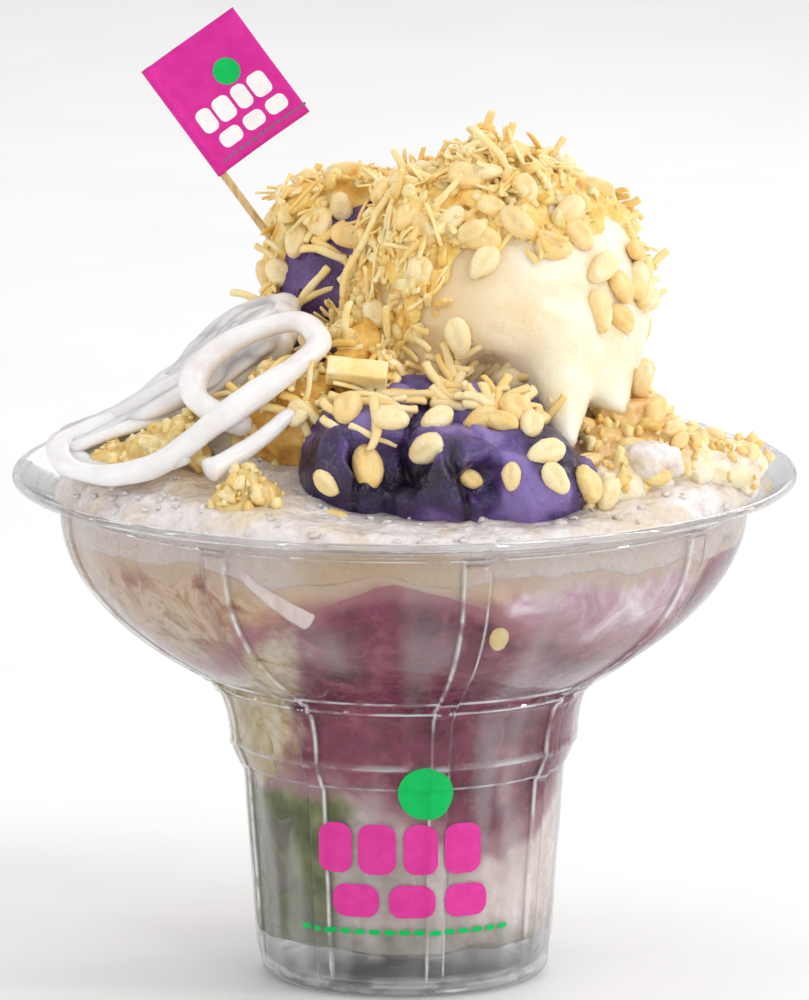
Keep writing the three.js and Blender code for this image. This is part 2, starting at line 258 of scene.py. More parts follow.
# ---------------------------------------------------------------- strands
def smooth_path(points, count):
    """Catmull-Rom through the points, as `count` evenly numbered places."""
    p = np.asarray(points, float)
    p = np.vstack([2 * p[0] - p[1], p, 2 * p[-1] - p[-2]])
    t = np.linspace(0, len(p) - 3 - 1e-6, count)
    i = t.astype(int)
    f = (t - i)[:, None]
    a, b, c, d = p[i], p[i + 1], p[i + 2], p[i + 3]
    return 0.5 * (2 * b + (c - a) * f + (2 * a - 5 * b + 4 * c - d) * f**2 + (3 * b - a - 3 * c + d) * f**3)


def swept(path, radius, sides=12, flat=1.0, up=(0, 0, 1), bumps=0.0, seed=0):
    """A closed round strand along a path. `radius` is one number or one for each place, and
    `flat` squeezes the section across `up`."""
    path = np.asarray(path, float)
    count = len(path)
    radius = np.broadcast_to(np.asarray(radius, float), (count,))
    along = np.gradient(path, axis=0)
    along /= np.linalg.norm(along, axis=1)[:, None]
    side = np.cross(along, np.broadcast_to(np.asarray(up, float), along.shape))
    side += 1e-6
    side /= np.linalg.norm(side, axis=1)[:, None]
    top = np.cross(side, along)
    end = np.linspace(0, 1, count)
    taper = np.clip(np.minimum(end, 1 - end) * count / 2.5, 0, 1)
    taper = np.sqrt(1 - (1 - taper) ** 2) * 0.97 + 0.03
    angle = np.arange(sides) * TAU / sides
    wide = np.cos(angle)[None, :, None] * side[:, None, :]
    high = np.sin(angle)[None, :, None] * top[:, None, :] * flat
    points = path[:, None, :] + (wide + high) * (radius * taper)[:, None, None]
    points = points.reshape(-1, 3)
    if bumps:
        points = points + noise(points, 3.0, seed)[:, None] * bumps * (points - np.repeat(path, sides, 0))
    return points, ring_faces(count, sides, inward=True)


# ---------------------------------------------------------------- materials
def linear(colour):
    """An sRGB triple of 0 to 255 as a linear colour with alpha."""
    values = [c / 255 for c in colour]
    return tuple(v / 12.92 if v <= 0.04045 else ((v + 0.055) / 1.055) ** 2.4 for v in values) + (1.0,)


class Shader:
    """A small helper round one Principled material's node tree. Sizes are in millimetres."""

    def __init__(self, name, roughness=0.5):
        self.material = bpy.data.materials.new(name)
        self.material.use_nodes = True
        self.tree = self.material.node_tree
        self.main = self.tree.nodes["Principled BSDF"]
        self.set("Roughness", roughness)
        self.place = self.tree.nodes.new("ShaderNodeTexCoord").outputs["Object"]
        self.base = None

    def set(self, socket, value):
        self.main.inputs[socket].default_value = value
        return self

    def node(self, kind, inputs=None, **settings):
        """A new node. Each of its inputs is given a number or what another node puts out."""
        made = self.tree.nodes.new(kind)
        for key, value in settings.items():
            setattr(made, key, value)
        for key, value in (inputs or {}).items():
            self.feed(made.inputs[key], value)
        return made

    def feed(self, socket, value):
        if isinstance(value, bpy.types.NodeSocket):
            self.tree.links.new(value, socket)
        else:
            socket.default_value = value

    def noise(self, size, detail=3.0, roughness=0.55, distortion=0.0, stretch=None):
        place = self.place
        if stretch:
            place = self.node("ShaderNodeMapping", {"Vector": place, "Scale": stretch}).outputs["Vector"]
        inputs = {"Vector": place, "Scale": 1 / (size * MM), "Detail": detail}
        inputs |= {"Roughness": roughness, "Distortion": distortion}
        return self.node("ShaderNodeTexNoise", inputs).outputs["Fac"]

    def cells(self, size, feature="F1"):
        inputs = {"Scale": 1 / (size * MM), "Vector": self.place}
        return self.node("ShaderNodeTexVoronoi", inputs, feature=feature).outputs["Distance"]

    def ramp(self, value, stops):
        """Colours along a value: stops are (place, sRGB colour) from low to high."""
        made = self.node("ShaderNodeValToRGB", {"Fac": value})
        elements = made.color_ramp.elements
        elements[0].position, elements[0].color = stops[0][0], linear(stops[0][1])
        elements[1].position, elements[1].color = stops[-1][0], linear(stops[-1][1])
        for place, colour in stops[1:-1]:
            elements.new(place).color = linear(colour)
        return made.outputs["Color"]

    def mottle(self, stops, size, *noise_settings):
        """Patches of colour about `size` across."""
        return self.ramp(self.noise(size, *noise_settings), stops)

    def curve(self, value, low, high, to_low=0.0, to_high=1.0):
        """The value between low and high, spread smoothly over to_low to to_high."""
        inputs = {"Value": value, "From Min": low, "From Max": high, "To Min": to_low, "To Max": to_high}
        return self.node("ShaderNodeMapRange", inputs, interpolation_type="SMOOTHSTEP").outputs["Result"]

    def math(self, operation, a, b=0.0):
        return self.node("ShaderNodeMath", {0: a, 1: b}, operation=operation).outputs["Value"]

    def add(self, a, b):
        return self.math("ADD", a, b)

    def times(self, a, b):
        return self.math("MULTIPLY", a, b)

    def mix(self, share, a, b):
        """Colour a where share is 0 and b where it is 1. A colour is a socket or an sRGB triple."""
        a, b = (linear(c) if isinstance(c, tuple) else c for c in (a, b))
        return self.node("ShaderNodeMix", {0: share, 6: a, 7: b}, data_type="RGBA").outputs[2]

    def axis(self, name):
        """One coordinate of the place, in millimetres."""
        return self.times(self.node("ShaderNodeSeparateXYZ", {0: self.place}).outputs[name], 1 / MM)

    def wander(self, name, size, reach):
        """One coordinate, pushed up by noise so that a line along it is ragged."""
        return self.add(self.axis(name), self.times(self.noise(size), reach))

    def attribute(self, name):
        return self.node("ShaderNodeAttribute", attribute_name=name).outputs["Fac"]

    def bump(self, *layers):
        """Relief from (height source, depth) pairs, coarse first."""
        below = {}
        for height, depth in layers:
            inputs = {"Strength": 1.0, "Distance": depth * MM, "Height": height} | below
            below = {"Normal": self.node("ShaderNodeBump", inputs).outputs["Normal"]}
        self.feed(self.main.inputs["Normal"], below["Normal"])
        return self

    def colour(self, source):
        self.base = source
        self.feed(self.main.inputs["Base Color"], source)
        return self

    def over(self, share, colour):
        """Lay a colour over what is there."""
        return self.colour(self.mix(share, self.base, colour))

    def rough(self, source):
        self.feed(self.main.inputs["Roughness"], source)
        return self

    def subsurface(self, weight, depth, tint):
        self.set("Subsurface Weight", weight).set("Subsurface Scale", depth * MM)
        return self.set("Subsurface Radius", tint)

    def coat(self, weight, roughness=0.03):
        return self.set("Coat Weight", weight).set("Coat Roughness", roughness)


# ---------------------------------------------------------------- the cup's shape
CUP_HIGH = node_box("cup")[1]
FLANGE_R, FLANGE_Z = CUP_HIGH[0] + 0.2, CUP_HIGH[2]
BOWL_R, BOWL_Z = FLANGE_R - 8.0, FLANGE_Z - 4.5
WALL = 0.6
INSIDE_FLOOR_Z = 2.4
RIBS, RIB_PHASE = 8, math.radians(-78)
RIB_SECTOR = TAU / RIBS
RIB_HEIGHT, RIB_EDGE = 0.75, 0.42
SUNK_IN_WALL = 0.3  # how far the filling reaches into the wall


def bezier(points, count):
    t = np.linspace(0, 1, count)[:, None]
    a, b, c, d = (np.array(p, float) for p in points)
    return a * (1 - t) ** 3 + 3 * b * t * (1 - t) ** 2 + 3 * c * t**2 * (1 - t) + d * t**3


def arc(centre, radius, start, end, count):
    angle = np.radians(np.linspace(start, end, count))
    return np.stack([centre[0] + radius * np.cos(angle), centre[1] + radius * np.sin(angle)], axis=1)


def cup_profile():
    """The wall's outside as (radius, height), from under the foot ring to the flange's lip."""
    foot = arc((21.2, 1.0), 1.0, 200, 270, 5)
    heel = arc((21.6, 2.3), 2.3, -90, -4, 9)
    wall = smooth_path([(24.0, 4), (24.55, 11), (25.0, 18), (25.5, 24), (26.1, 32), (26.35, 35)], 22)
    step = smooth_path([(26.4, 35.6), (26.95, 36.3), (27.5, 37.4), (28.25, 39.2), (28.75, 39.9)], 12)
    collar = smooth_path([(28.6, 40.8), (29.0, 44), (29.7, 46.8), (30.3, 48.3)], 10)
    neck = [(30.9, 49.1), (31.75, 49.7), (31.6, 50.4), (32.3, 51), (33.6, 51.5), (34.3, 52.2)]
    bowl = bezier([(34.9, 52.45), (46.4, 58.9), (BOWL_R, 68), (BOWL_R, BOWL_Z - 0.6)], 44)
    bead = arc((BOWL_R - 0.1, BOWL_Z), 0.5, -60, 40, 5)
    flange = [(BOWL_R + 1.0, BOWL_Z + 0.55), (BOWL_R + 3.5, BOWL_Z + 1.6), (FLANGE_R - 1.6, FLANGE_Z - 1.5)]
    lip = arc((FLANGE_R - 0.9, FLANGE_Z - 0.9), 0.9, -70, 60, 8)
    neck, flange = smooth_path(neck, 16), smooth_path(flange, 10)
    return np.vstack([foot, heel, wall, step, collar, neck, bowl, bead, flange, lip])


def outward(profile):
    along = np.gradient(profile, axis=0)
    along /= np.linalg.norm(along, axis=1)[:, None]
    return np.stack([along[:, 1], -along[:, 0]], axis=1)


PROFILE = cup_profile()
WALL_ROWS = (PROFILE[:, 1] > 2.4) & (PROFILE[:, 1] < BOWL_Z - 0.5)


def wall_radius(z):
    """Radius of the wall's outside at a height, without the ribs."""
    rows = PROFILE[WALL_ROWS]
    order = np.argsort(rows[:, 1])
    return np.interp(z, rows[order, 1], rows[order, 0])


def cup_angles():
    """Angles round the cup, close together at the ribs' edges."""
    beside, edge = 4.8, 1.2  # degrees from a rib's middle
    right = np.linspace(edge, beside, 13)
    across = np.radians(np.concatenate([np.linspace(-beside, -edge, 13), [-0.4, 0.4], right]))
    panel = np.radians(np.linspace(beside, 360 / RIBS - beside, 13)[1:-1])
    sector = np.concatenate([across, panel])
    return np.concatenate([RIB_PHASE + k * TAU / RIBS + sector for k in range(RIBS)])


ANGLES = cup_angles()


def across_rib(angle, radius, z):
    """Distance along the wall from the nearest rib's middle, and half the rib's width there."""
    off = (angle - RIB_PHASE + RIB_SECTOR / 2) % RIB_SECTOR - RIB_SECTOR / 2
    return np.abs(off) * radius, np.interp(z, [0, 40, 80], [1.35, 1.5, 2.2])


def rib_rise(angle, radius, z):
    """How far a rib lifts the wall: flat-topped, wider towards the bowl's top."""
    across, half = across_rib(angle, radius, z)
    t = np.clip((half + RIB_EDGE - across) / (2 * RIB_EDGE), 0, 1)
    shown = np.interp(z, [2.5, 5, 79.5, 82.5], [0, 1, 1, 0])
    return RIB_HEIGHT * shown * t * t * (3 - 2 * t)


# painted highlight: these bright lines are painted onto the cup as white lines
RING_LINES = (  # height, half-width and strength of the bright lines on the rings and the flange
    (36.1, 0.16, 0.7), (39.75, 0.2, 0.7), (49.7, 0.16, 0.9), (51.9, 0.2, 1.0), (80.45, 0.14, 0.7),
    (81.3, 0.1, 0.6), (82.3, 0.12, 0.5), (83.6, 0.14, 0.7), (84.85, 0.16, 1.0), (2.3, 0.3, 0.6),
)  # fmt: skip


def painted_line_share(points, beside=0.0, ring_beside=0.0):
    """1 on the edges of the ribs and rings, where painted highlight lines stand for the bent plastic
    catching the light, or on lines that lie beside them, where painted dark lines go."""
    radius, z = np.hypot(points[:, 0], points[:, 1]), points[:, 2]
    across, half = across_rib(np.arctan2(points[:, 1], points[:, 0]), radius, z)
    fine = np.interp(radius, [26, 56], [0.14, 0.2])
    rib = np.exp(-(((across - half - beside) / fine) ** 2))
    rib *= np.interp(z, [2.5, 5, 78, 81], [0, 1, 1, 0]) * (radius > 23)
    ring = np.zeros_like(z)
    for height, width, strength in RING_LINES:
        ring = np.maximum(ring, strength * np.exp(-(((z - height - ring_beside) / width) ** 2)))
    gate = np.exp(-(((radius - 3.3) / 0.35) ** 2)) + 0.8 * np.exp(-(((radius - 20.2) / 0.9) ** 2))
    return np.maximum(np.maximum(rib, ring * (radius > 22)), gate * (z < 3))


def highlight_streak_share(points):
    """Upright streaks of painted highlight on the plastic, broken along their length."""
    angle, z = np.arctan2(points[:, 1], points[:, 0]), points[:, 2]
    across = np.stack([12 * np.cos(angle), 12 * np.sin(angle), z * 0.04], axis=1)
    thin = spread(noise(across, 1.1, 24), 0.15, 0.5)
    broad = spread(noise(across, 3.2, 25), 0.0, 0.45)
    broken = spread(noise(points, 14.0, 26), -0.5, 0.1)
    return np.clip(0.7 * thin + 0.6 * broad, 0, 1) * broken * (z > 2.5)


def ring_points(radius, z):
    radius, z = np.broadcast_to(radius, ANGLES.shape), np.broadcast_to(z, ANGLES.shape)
    return np.stack([radius * np.cos(ANGLES), radius * np.sin(ANGLES), z], axis=1)


def make_cup(material):
    under = ((0.01, 1.9), (3.1, 1.9), (3.4, 1.55), (10, 1.5), (19.0, 1.4), (19.7, 1.1))
    floor = (
        (22.3, 2.5), (20.5, 2.2), (19.2, 2.2), (10, 2.2), (4.3, 2.2),
        (3.6, 2.25), (3.2, 2.6), (2.6, 2.6), (0.01, 2.6),
    )  # fmt: skip
    rings = [ring_points(r, z) for r, z in under]
    outside = list(zip(PROFILE, outward(PROFILE)))
    inside = [(p, n) for p, n in outside if p[1] > 2.2 and p[0] < FLANGE_R - 0.8][::-1]
    for rows, shift in ((outside, 0), (inside, WALL)):
        for (r, z), (nr, nz) in rows:
            rise = rib_rise(ANGLES, r, z) - shift
            rings.append(ring_points(r + rise * nr, z + rise * nz))
    rings += [ring_points(r, z) for r, z in floor]
    points = np.vstack(rings)
    faces = ring_faces(len(rings), len(ANGLES))
    piece = make_mesh("clear_cup", points, faces, material, "clear_plastic", ["cup"])
    # painted highlight lines on the edges, painted dark lines beside them, and painted highlight streaks
    add_attribute(piece, "edge", painted_line_share(points))
    add_attribute(piece, "painted_dark_line", painted_line_share(points, 0.5, 0.35))
    add_attribute(piece, "highlight_streak", highlight_streak_share(points))


def clear_plastic():
    """Thin clear plastic: light goes straight through it, and its skin mirrors at a slant. The ribs' and
    rings' edges and the painted highlight streaks mirror more and get painted white highlight lines, with
    painted dark lines beside the edges."""
    s = Shader("clear plastic")
    s.tree.nodes.remove(s.main)
    facing = s.node("ShaderNodeLayerWeight", {"Blend": 0.5}).outputs["Facing"]
    slant = [(0.0, (254, 254, 254)), (0.84, (247, 247, 248)), (0.94, (220, 222, 225)), (1.0, (140, 143, 148))]
    broken = s.curve(s.noise(6.0), 0.38, 0.58, 0.15, 1.0)
    # painted shade: dark lines beside the edges darken what shows through
    painted_dark_line = s.times(s.times(s.attribute("painted_dark_line"), broken), 0.34)
    see = s.node("ShaderNodeBsdfTransparent", {"Color": s.mix(painted_dark_line, s.ramp(facing, slant), (120, 122, 128))})
    ripple = s.node("ShaderNodeBump", {"Distance": 0.12 * MM, "Height": s.noise(7.0, 2.0)})
    gloss = s.node("ShaderNodeBsdfGlossy", {"Roughness": 0.05, "Normal": ripple.outputs["Normal"]})
    mirror = s.add(s.times(s.math("POWER", facing, 4.5), 0.8), 0.035)
    edge = s.times(s.times(s.attribute("edge"), broken), 0.9)
    # painted highlight streaks add to the gloss and to the white lines
    bright = s.add(edge, s.times(s.attribute("highlight_streak"), 0.2))
    share = s.math("MINIMUM", s.add(mirror, s.times(bright, 0.6)), 0.9)
    both = s.node("ShaderNodeMixShader", {0: share, 1: see.outputs[0], 2: gloss.outputs[0]})
    # painted highlight: white diffuse on the edges and the streaks
    white = s.node("ShaderNodeBsdfDiffuse", {"Color": (0.95, 0.95, 0.95, 1)})
    lit = s.node("ShaderNodeMixShader", {0: s.times(bright, 0.62), 1: both.outputs[0], 2: white.outputs[0]})
    s.feed(s.tree.nodes["Material Output"].inputs["Surface"], lit.outputs[0])
    return s.material


# ---------------------------------------------------------------- what fills the cup
def syrup_top(x, y):
    return 7.6 + 1.2 * noise2(x, y, 7, 15)


def milk_top(x, y):
    dip = 12 * np.exp(-((x - 11) ** 2 + (y + 18) ** 2) / 240)
    return 35.5 - dip + 2.2 * noise2(x, y, 8, 1) + 0.8 * noise2(x, y, 2.6, 2)


def ube_top(x, y):
    crown = 13.5 * np.exp(-((x + 2) ** 2 / 700 + (y + 48) ** 2 / 900))
    right_edge = 18 / (1 + np.exp((45.5 - x) / 2.2))
    left_fall = 6 * spread(-x, 16, 34)
    wave = 2.4 * noise2(x, y, 9, 5) + 1.2 * noise2(x, y, 3, 6)
    return 61.5 + crown + right_edge - left_fall + wave


def cream_top(x, y):
    front = 3.5 / (1 + np.exp((y + 20) / 6))
    return 73.5 + front + 2.2 * noise2(x, y, 10, 8) + 0.8 * noise2(x, y, 3, 9)


def mound_top(x, y):
    """Shaved ice: a shoulder under the strands and a dip under the jam in front."""
    out = np.clip(np.hypot(x, y) / 60, 0, 1.1)
    shoulder = 10 * np.exp(-((x + 25) ** 2 + (y + 5) ** 2) / 260)
    dip = 6 * np.exp(-((x - 7) ** 2) / 700 - (y + 38) ** 2 / 260)
    back = 2.5 * np.exp(-((x - 5) ** 2) / 900 - (y - 34) ** 2 / 200)
    rough = 1.5 * noise2(x, y, 9, 11) + 0.8 * noise2(x, y, 3.5, 12)
    return 94.6 - 9.8 * out**2.4 + shoulder - dip + back + rough * (1.15 - out)


def on_wall(surface):
    """Height at which a surface meets the wall, all round."""
    z = np.full(len(ANGLES), 60.0)
    for _ in range(6):
        r = wall_radius(z) - SUNK_IN_WALL
        z = 0.5 * z + 0.5 * np.clip(surface(r * np.cos(ANGLES), r * np.sin(ANGLES)), 2.5, BOWL_Z - 1)
    return z


def inner_ring(surface, z_wall, share):
    """A ring on a surface, at a share of the way out to the wall, which it meets at z_wall."""
    r = (wall_radius(z_wall) - SUNK_IN_WALL) * share
    return ring_points(r, np.maximum(surface(r * np.cos(ANGLES), r * np.sin(ANGLES)), INSIDE_FLOOR_Z))


def wall_ring(z):
    r = wall_radius(z) - SUNK_IN_WALL
    return ring_points(r + rib_rise(ANGLES, r, z), z)


def make_layer(name, low, high, material, node, slot, rows):
    """One layer of the filling: its foot, its wall, which lies in the cup's wall, and its top."""
    z_low, z_high = on_wall(low), on_wall(high)
    shares = (0.01, 0.35, 0.7, 0.93)
    up = [0 * z_low] * len(shares) + [t * (z_high - z_low) for t in np.linspace(0, 1, rows)]
    up += [z_high - z_low] * len(shares)
    rings = [inner_ring(low, z_low, share) for share in shares]
    rings += [wall_ring(z_low + (z_high - z_low) * t) for t in np.linspace(0, 1, rows)]
    rings += [inner_ring(high, z_high, share) for share in reversed(shares)]
    faces = ring_faces(len(rings), len(ANGLES))
    piece = make_mesh(name, np.vstack(rings), faces, material, slot, [node], sharp=50)
    up = np.concatenate(up)
    add_attribute(piece, "above_foot", up)
    add_attribute(piece, "below_top", np.tile(z_high - z_low, len(rings)) - up)


def make_mound(material):
    """The shaved ice from the cream's top up: wall, the strip on the flange, and the open mound.
    Gives its points and faces."""
    z_low = on_wall(cream_top)
    rings = [inner_ring(cream_top, z_low, share) for share in (0.01, 0.5, 0.93)]
    rings += [wall_ring(z_low + (BOWL_Z - 1.2 - z_low) * t) for t in np.linspace(0, 1, 8)]
    reach = BOWL_R + 1.5 + 1.3 * noise2(20 * np.cos(ANGLES), 20 * np.sin(ANGLES), 6, 3)
    shore = BOWL_Z + 0.45 * (reach - BOWL_R) + 0.15
    rings += [ring_points(BOWL_R - 0.1, BOWL_Z + 0.1), ring_points(reach, shore)]
    for share in np.linspace(0.995, 0.0, 74):
        r = reach * share + 0.01
        x, y = r * np.cos(ANGLES), r * np.sin(ANGLES)
        rise = np.clip((1 - share) / 0.07, 0, 1)
        rise = np.sqrt(1 - (1 - rise) ** 2)
        z = shore + (mound_top(x, y) - shore) * rise
        place = np.stack([x, y, z], axis=1)
        flake = 0.35 * noise(place, 1.4, 4) + 0.5 * np.abs(noise(place, 2.6, 7))
        rings.append(ring_points(r, z + flake * rise))
    faces = ring_faces(len(rings), len(ANGLES))
    mesh = make_mesh("shaved_ice_mound", np.vstack(rings), faces, material, "shaved_ice", ["shaved_ice"]).data
    points = np.empty(len(mesh.vertices) * 3)
    mesh.vertices.foreach_get("co", points)
    return points.reshape(-1, 3) / MM, [tuple(f.vertices) for f in mesh.polygons]


def lean_lump(name, node, rough, seed, material, slot):
    """A fruit or jelly piece against the wall, out to the wall's inside."""
    low, high = node_box(node)
    centre, radii = (low + high) / 2, (high - low) / 2 + 0.4

    def field(p):
        body = ellipsoid(p, centre, radii) + rough * noise(p, 4.0, seed)
        z = np.clip(p[..., 2], 3, BOWL_Z - 1)
        reach = np.hypot(p[..., 0], p[..., 1]) - (wall_radius(z) - SUNK_IN_WALL + 0.12)
        return np.maximum(body, reach)

    make_mesh(name, *soft_body(field, low - 2, high + 2, 0.75), material, slot, [node])


# ---------------------------------------------------------------- soft solids: their fields
LOOK_DOWN = math.radians(11)
FORWARD = np.array([0, math.cos(LOOK_DOWN), -math.sin(LOOK_DOWN)])
UPWARD = np.array([0, math.sin(LOOK_DOWN), math.cos(LOOK_DOWN)])


def seen_height(p):
    """Height up the dessert as seen from its front, 11 degrees above level."""
    return p @ UPWARD


def ice_cream_field(p):
    body = ellipsoid(p, (15.5, 2.0, 111.0), (25.0, 24.5, 25.0))
    skirt = ellipsoid(p, (25.0, -13.0, 105.0), (12.0, 10.5, 8.0))
    cheek = ellipsoid(p, (6.0, -14.0, 102.0), (9.0, 8.0, 6.0))
    brow = ellipsoid(p, (19.0, -17.0, 112.5), (13.0, 8.5, 8.0))
    body = blend_in(blend_in(body, skirt, 2.5), blend_in(cheek, brow, 1.5), 2.0)
    drips = (
        ((25.0, -18, 108), (26.4, -31.0, 95.6), 7.2, 1.3),
        ((33.5, -14, 106), (34.5, -21.0, 98.0), 4.2, 1.6),
        ((8, -19, 105), (7.5, -24.5, 101.0), 3.5, 1.8),
    )
    for drip in drips:
        body = blend_in(body, cone(p, *drip), 3.0)
    # hollows under the melting edge, on both sides of the longest drip
    hollows = (((13.5, -26.0, 104.5), (4.6, 8.0, 4.6)), ((33.5, -26.0, 95.0), (4.4, 9.0, 5.0)))
    return carve(body, p, hollows, 2.0) + 1.1 * noise(p, 13, 21) + 0.45 * noise(p, 5, 22)


JAM_BLOBS = (
    ((-7, -33.5, 92.5), (10.5, 12.5, 10.5), 1.2),
    ((7, -38, 90.5), (11.5, 11.5, 9.8), 1.2),
    ((20, -36, 90), (11, 11.5, 9.3), 1.4),
    ((13, -28, 97.5), (10, 9, 6.5), 1.6),
    ((-4, -27.5, 98.5), (9.5, 8, 5.4), 1.6),
    ((1.0, -25, 102.2), (6, 5, 3.0), 1.5),
    ((20.5, -27, 95.5), (4.4, 5.5, 7.5), 1.5),
    ((2.5, -43.5, 92), (6, 5, 6.5), 1.0),
    ((28.5, -35.5, 91.0), (3.8, 3.6, 3.2), 1.2),
)
JAM_HOLLOWS = (((-2.5, -46.0, 95.5), (7.5, 6.0, 5.6)), ((13, -47.5, 92.5), (3.5, 4, 3.2)))


def jam_fold(p):
    """Zero along the folds."""
    return np.abs(noise(p, 9, 31))


def jam_field(p):
    body = carve(blobs_field(p, JAM_BLOBS), p, JAM_HOLLOWS, 1.5)
    return body + 1.0 * np.exp(-((jam_fold(p) / 0.12) ** 2)) + 1.2 * noise(p, 7, 32) + 0.5 * noise(p, 2.2, 33)


def jam_tone_and_shade(p):
    """Painted shade: dark in the hollows and folds. Lighter on the crests, and painted light from above makes
    the higher parts lighter.
    """
    height = seen_height(p)
    hollow_shade = np.exp(-((p[:, 0] + 1.5) ** 2 / 90 + (height - 85) ** 2 / 45)) * (p[:, 1] < -34)
    ridge = np.exp(-((p[:, 0] - 11) ** 2 / 26 + (height - 91) ** 2 / 18))
    crest = spread(noise(p, 6.5, 35), 0.0, 0.6) + 0.3 * spread(p[:, 2], 92, 102)
    fold_shade = np.exp(-((jam_fold(p) / 0.2) ** 2))
    return np.clip(0.42 + 0.6 * crest + 0.45 * ridge - 0.7 * hollow_shade - 0.3 * fold_shade, 0, 1)


def back_scoop_field(p):
    body = ellipsoid(p, (-6.0, 14.0, 111.0), (16.5, 16.0, 19.5))
    return body + 1.6 * noise(p, 7, 41) + 0.5 * noise(p, 2.5, 42)


def cheese_edge(x, y):
    """Lowest height of the cheese on the ice cream: high over the bare front, low behind and left."""
    front = 125.5 - 21.5 * spread(-x, -11, 3) + 2.5 * spread(x, 26, 34)
    return front - (front - 112) * spread(y, -2, 9)


def top_cheese_field(p):
    ragged = 2.6 * noise(p, 5.5, 51) + 1.2 * noise(p, 2.2, 52)
    cover = spread(p[..., 2] - cheese_edge(p[..., 0], p[..., 1]) + ragged, -1.2, 1.6)
    coat = ice_cream_field(p) - (2.3 * cover - 1.6)
    peak = cone(p, (11.6, 0.5, 129.5), (12.6, 0.5, 137.4), 8.4, 2.4)
    right = ellipsoid(p, (18.0, 1.0, 127.5), (8.5, 8.5, 6.2))
    left = ellipsoid(p, (2.5, -6.0, 121.0), (7.5, 10.5, 12.5))
    body = blend_in(coat, blend_in(blend_in(peak, right, 4), left, 4), 3)
    return body + 1.1 * noise(p, 4.0, 53) + 2.4 * ridges(p, 2.3, 54)


def bare_patch(p, x, height, wide, tall):
    """1 inside an oval patch of the front, 0 outside it."""
    q = ((p[..., 0] - x) / wide) ** 2 + ((seen_height(p) - height) / tall) ** 2
    return spread(-q, -1.5, -0.6)


BARE_PATCHES = ((-13.4, 117.0, 7.4, 8.6), (-16.5, 109.5, 5.4, 6.0), (-8.6, 127.8, 6.0, 3.0), (-12, 107, 5, 4))


def back_cheese_field(p):
    ragged = 0.55 * noise(p, 5.0, 61) + 0.3 * noise(p, 2.0, 62)
    front = spread(-p[..., 1], -10, -4)
    bare = np.zeros_like(p[..., 0])
    for patch in BARE_PATCHES:
        bare = np.maximum(bare, bare_patch(p, *patch))
    cover = spread(0.55 + ragged - 1.1 * bare * front, 0.2, 0.6) * spread(p[..., 2], 99, 104)
    coat = back_scoop_field(p) - (3.0 * cover - 1.4)
    crest = ellipsoid(p, (-9.0, 9.0, 128.0), (12.0, 9.0, 4.6)) + 9 * bare * front
    return blend_in(coat, crest, 2.5) + 0.9 * noise(p, 3.5, 63) + 1.5 * ridges(p, 2.4, 64)


def valley_cheese_field(p):
    heap = ellipsoid(p, (-14.0, -21.0, 96.5), (14.5, 11.5, 9.5))
    slope = ellipsoid(p, (-7.5, -16.0, 103.0), (9.0, 8.0, 8.5))
    return blend_in(heap, slope, 4) + 1.5 * noise(p, 4.5, 71) + 1.8 * ridges(p, 2.6, 72)


def right_heap_field(p):
    """Melted ice cream with puffed rice in it, from the scoop's foot out to the flange."""
    pool = ellipsoid(p, (36.0, -17.0, 87.5), (13.0, 14.0, 7.5))
    out = ellipsoid(p, (49.0, -11.0, 87.0), (10.0, 10.5, 5.0))
    low = ellipsoid(p, (31.5, -29.0, 86.5), (8.5, 9.0, 5.5))
    lump = ellipsoid(p, (44.0, -21.0, 90.0), (4.6, 4.2, 5.5))
    climb = ellipsoid(p, (36.5, -13.5, 95.0), (6.8, 7.5, 8.6))
    foot = ellipsoid(p, (32.5, -22.0, 91.0), (5.5, 6.0, 5.6))
    body = blend_in(blend_in(pool, out, 5), blend_in(low, lump, 2), 3)
    body = blend_in(body, blend_in(climb, foot, 3), 2.5)
    return body + 1.3 * noise(p, 6, 81) + 1.5 * ridges(p, 2.6, 82)


# ---------------------------------------------------------------- small things, one at a time
def unit_ball(rings, sides):
    """Points and faces of a closed ball: a point at each end and rings between."""
    points = [(0, 0, -1)]
    for i in range(1, rings):
        lift = -math.pi / 2 + math.pi * i / rings
        for j in range(sides):
            turn = TAU * (j + 0.5 * (i % 2)) / sides
            points.append((math.cos(lift) * math.cos(turn), math.cos(lift) * math.sin(turn), math.sin(lift)))
    points.append((0, 0, 1))
    last = len(points) - 1
    faces = [(0, 1 + (j + 1) % sides, 1 + j) for j in range(sides)]
    for i in range(rings - 2):
        for j in range(sides):
            a, b = 1 + i * sides + j, 1 + i * sides + (j + 1) % sides
            faces.append((a, b, b + sides, a + sides))
    top = 1 + (rings - 2) * sides
    faces += [(last, top + j, top + (j + 1) % sides) for j in range(sides)]
    return np.array(points, float), faces


GRAIN_BALL = unit_ball(10, 14)
FLAKE_BALL = unit_ball(4, 6)


def frame_on(normal, turn):
    """Three axes for something lying on a surface: long, across and out of the surface."""
    out = np.asarray(normal, float) / np.linalg.norm(normal)
    start = np.array([0, 0, 1.0]) if abs(out[2]) < 0.9 else np.array([1.0, 0, 0])
    across = np.cross(out, start)
    across /= np.linalg.norm(across)
    level = np.cross(across, out)
    long = math.cos(turn) * across + math.sin(turn) * level
    return np.stack([long, np.cross(out, long), out])


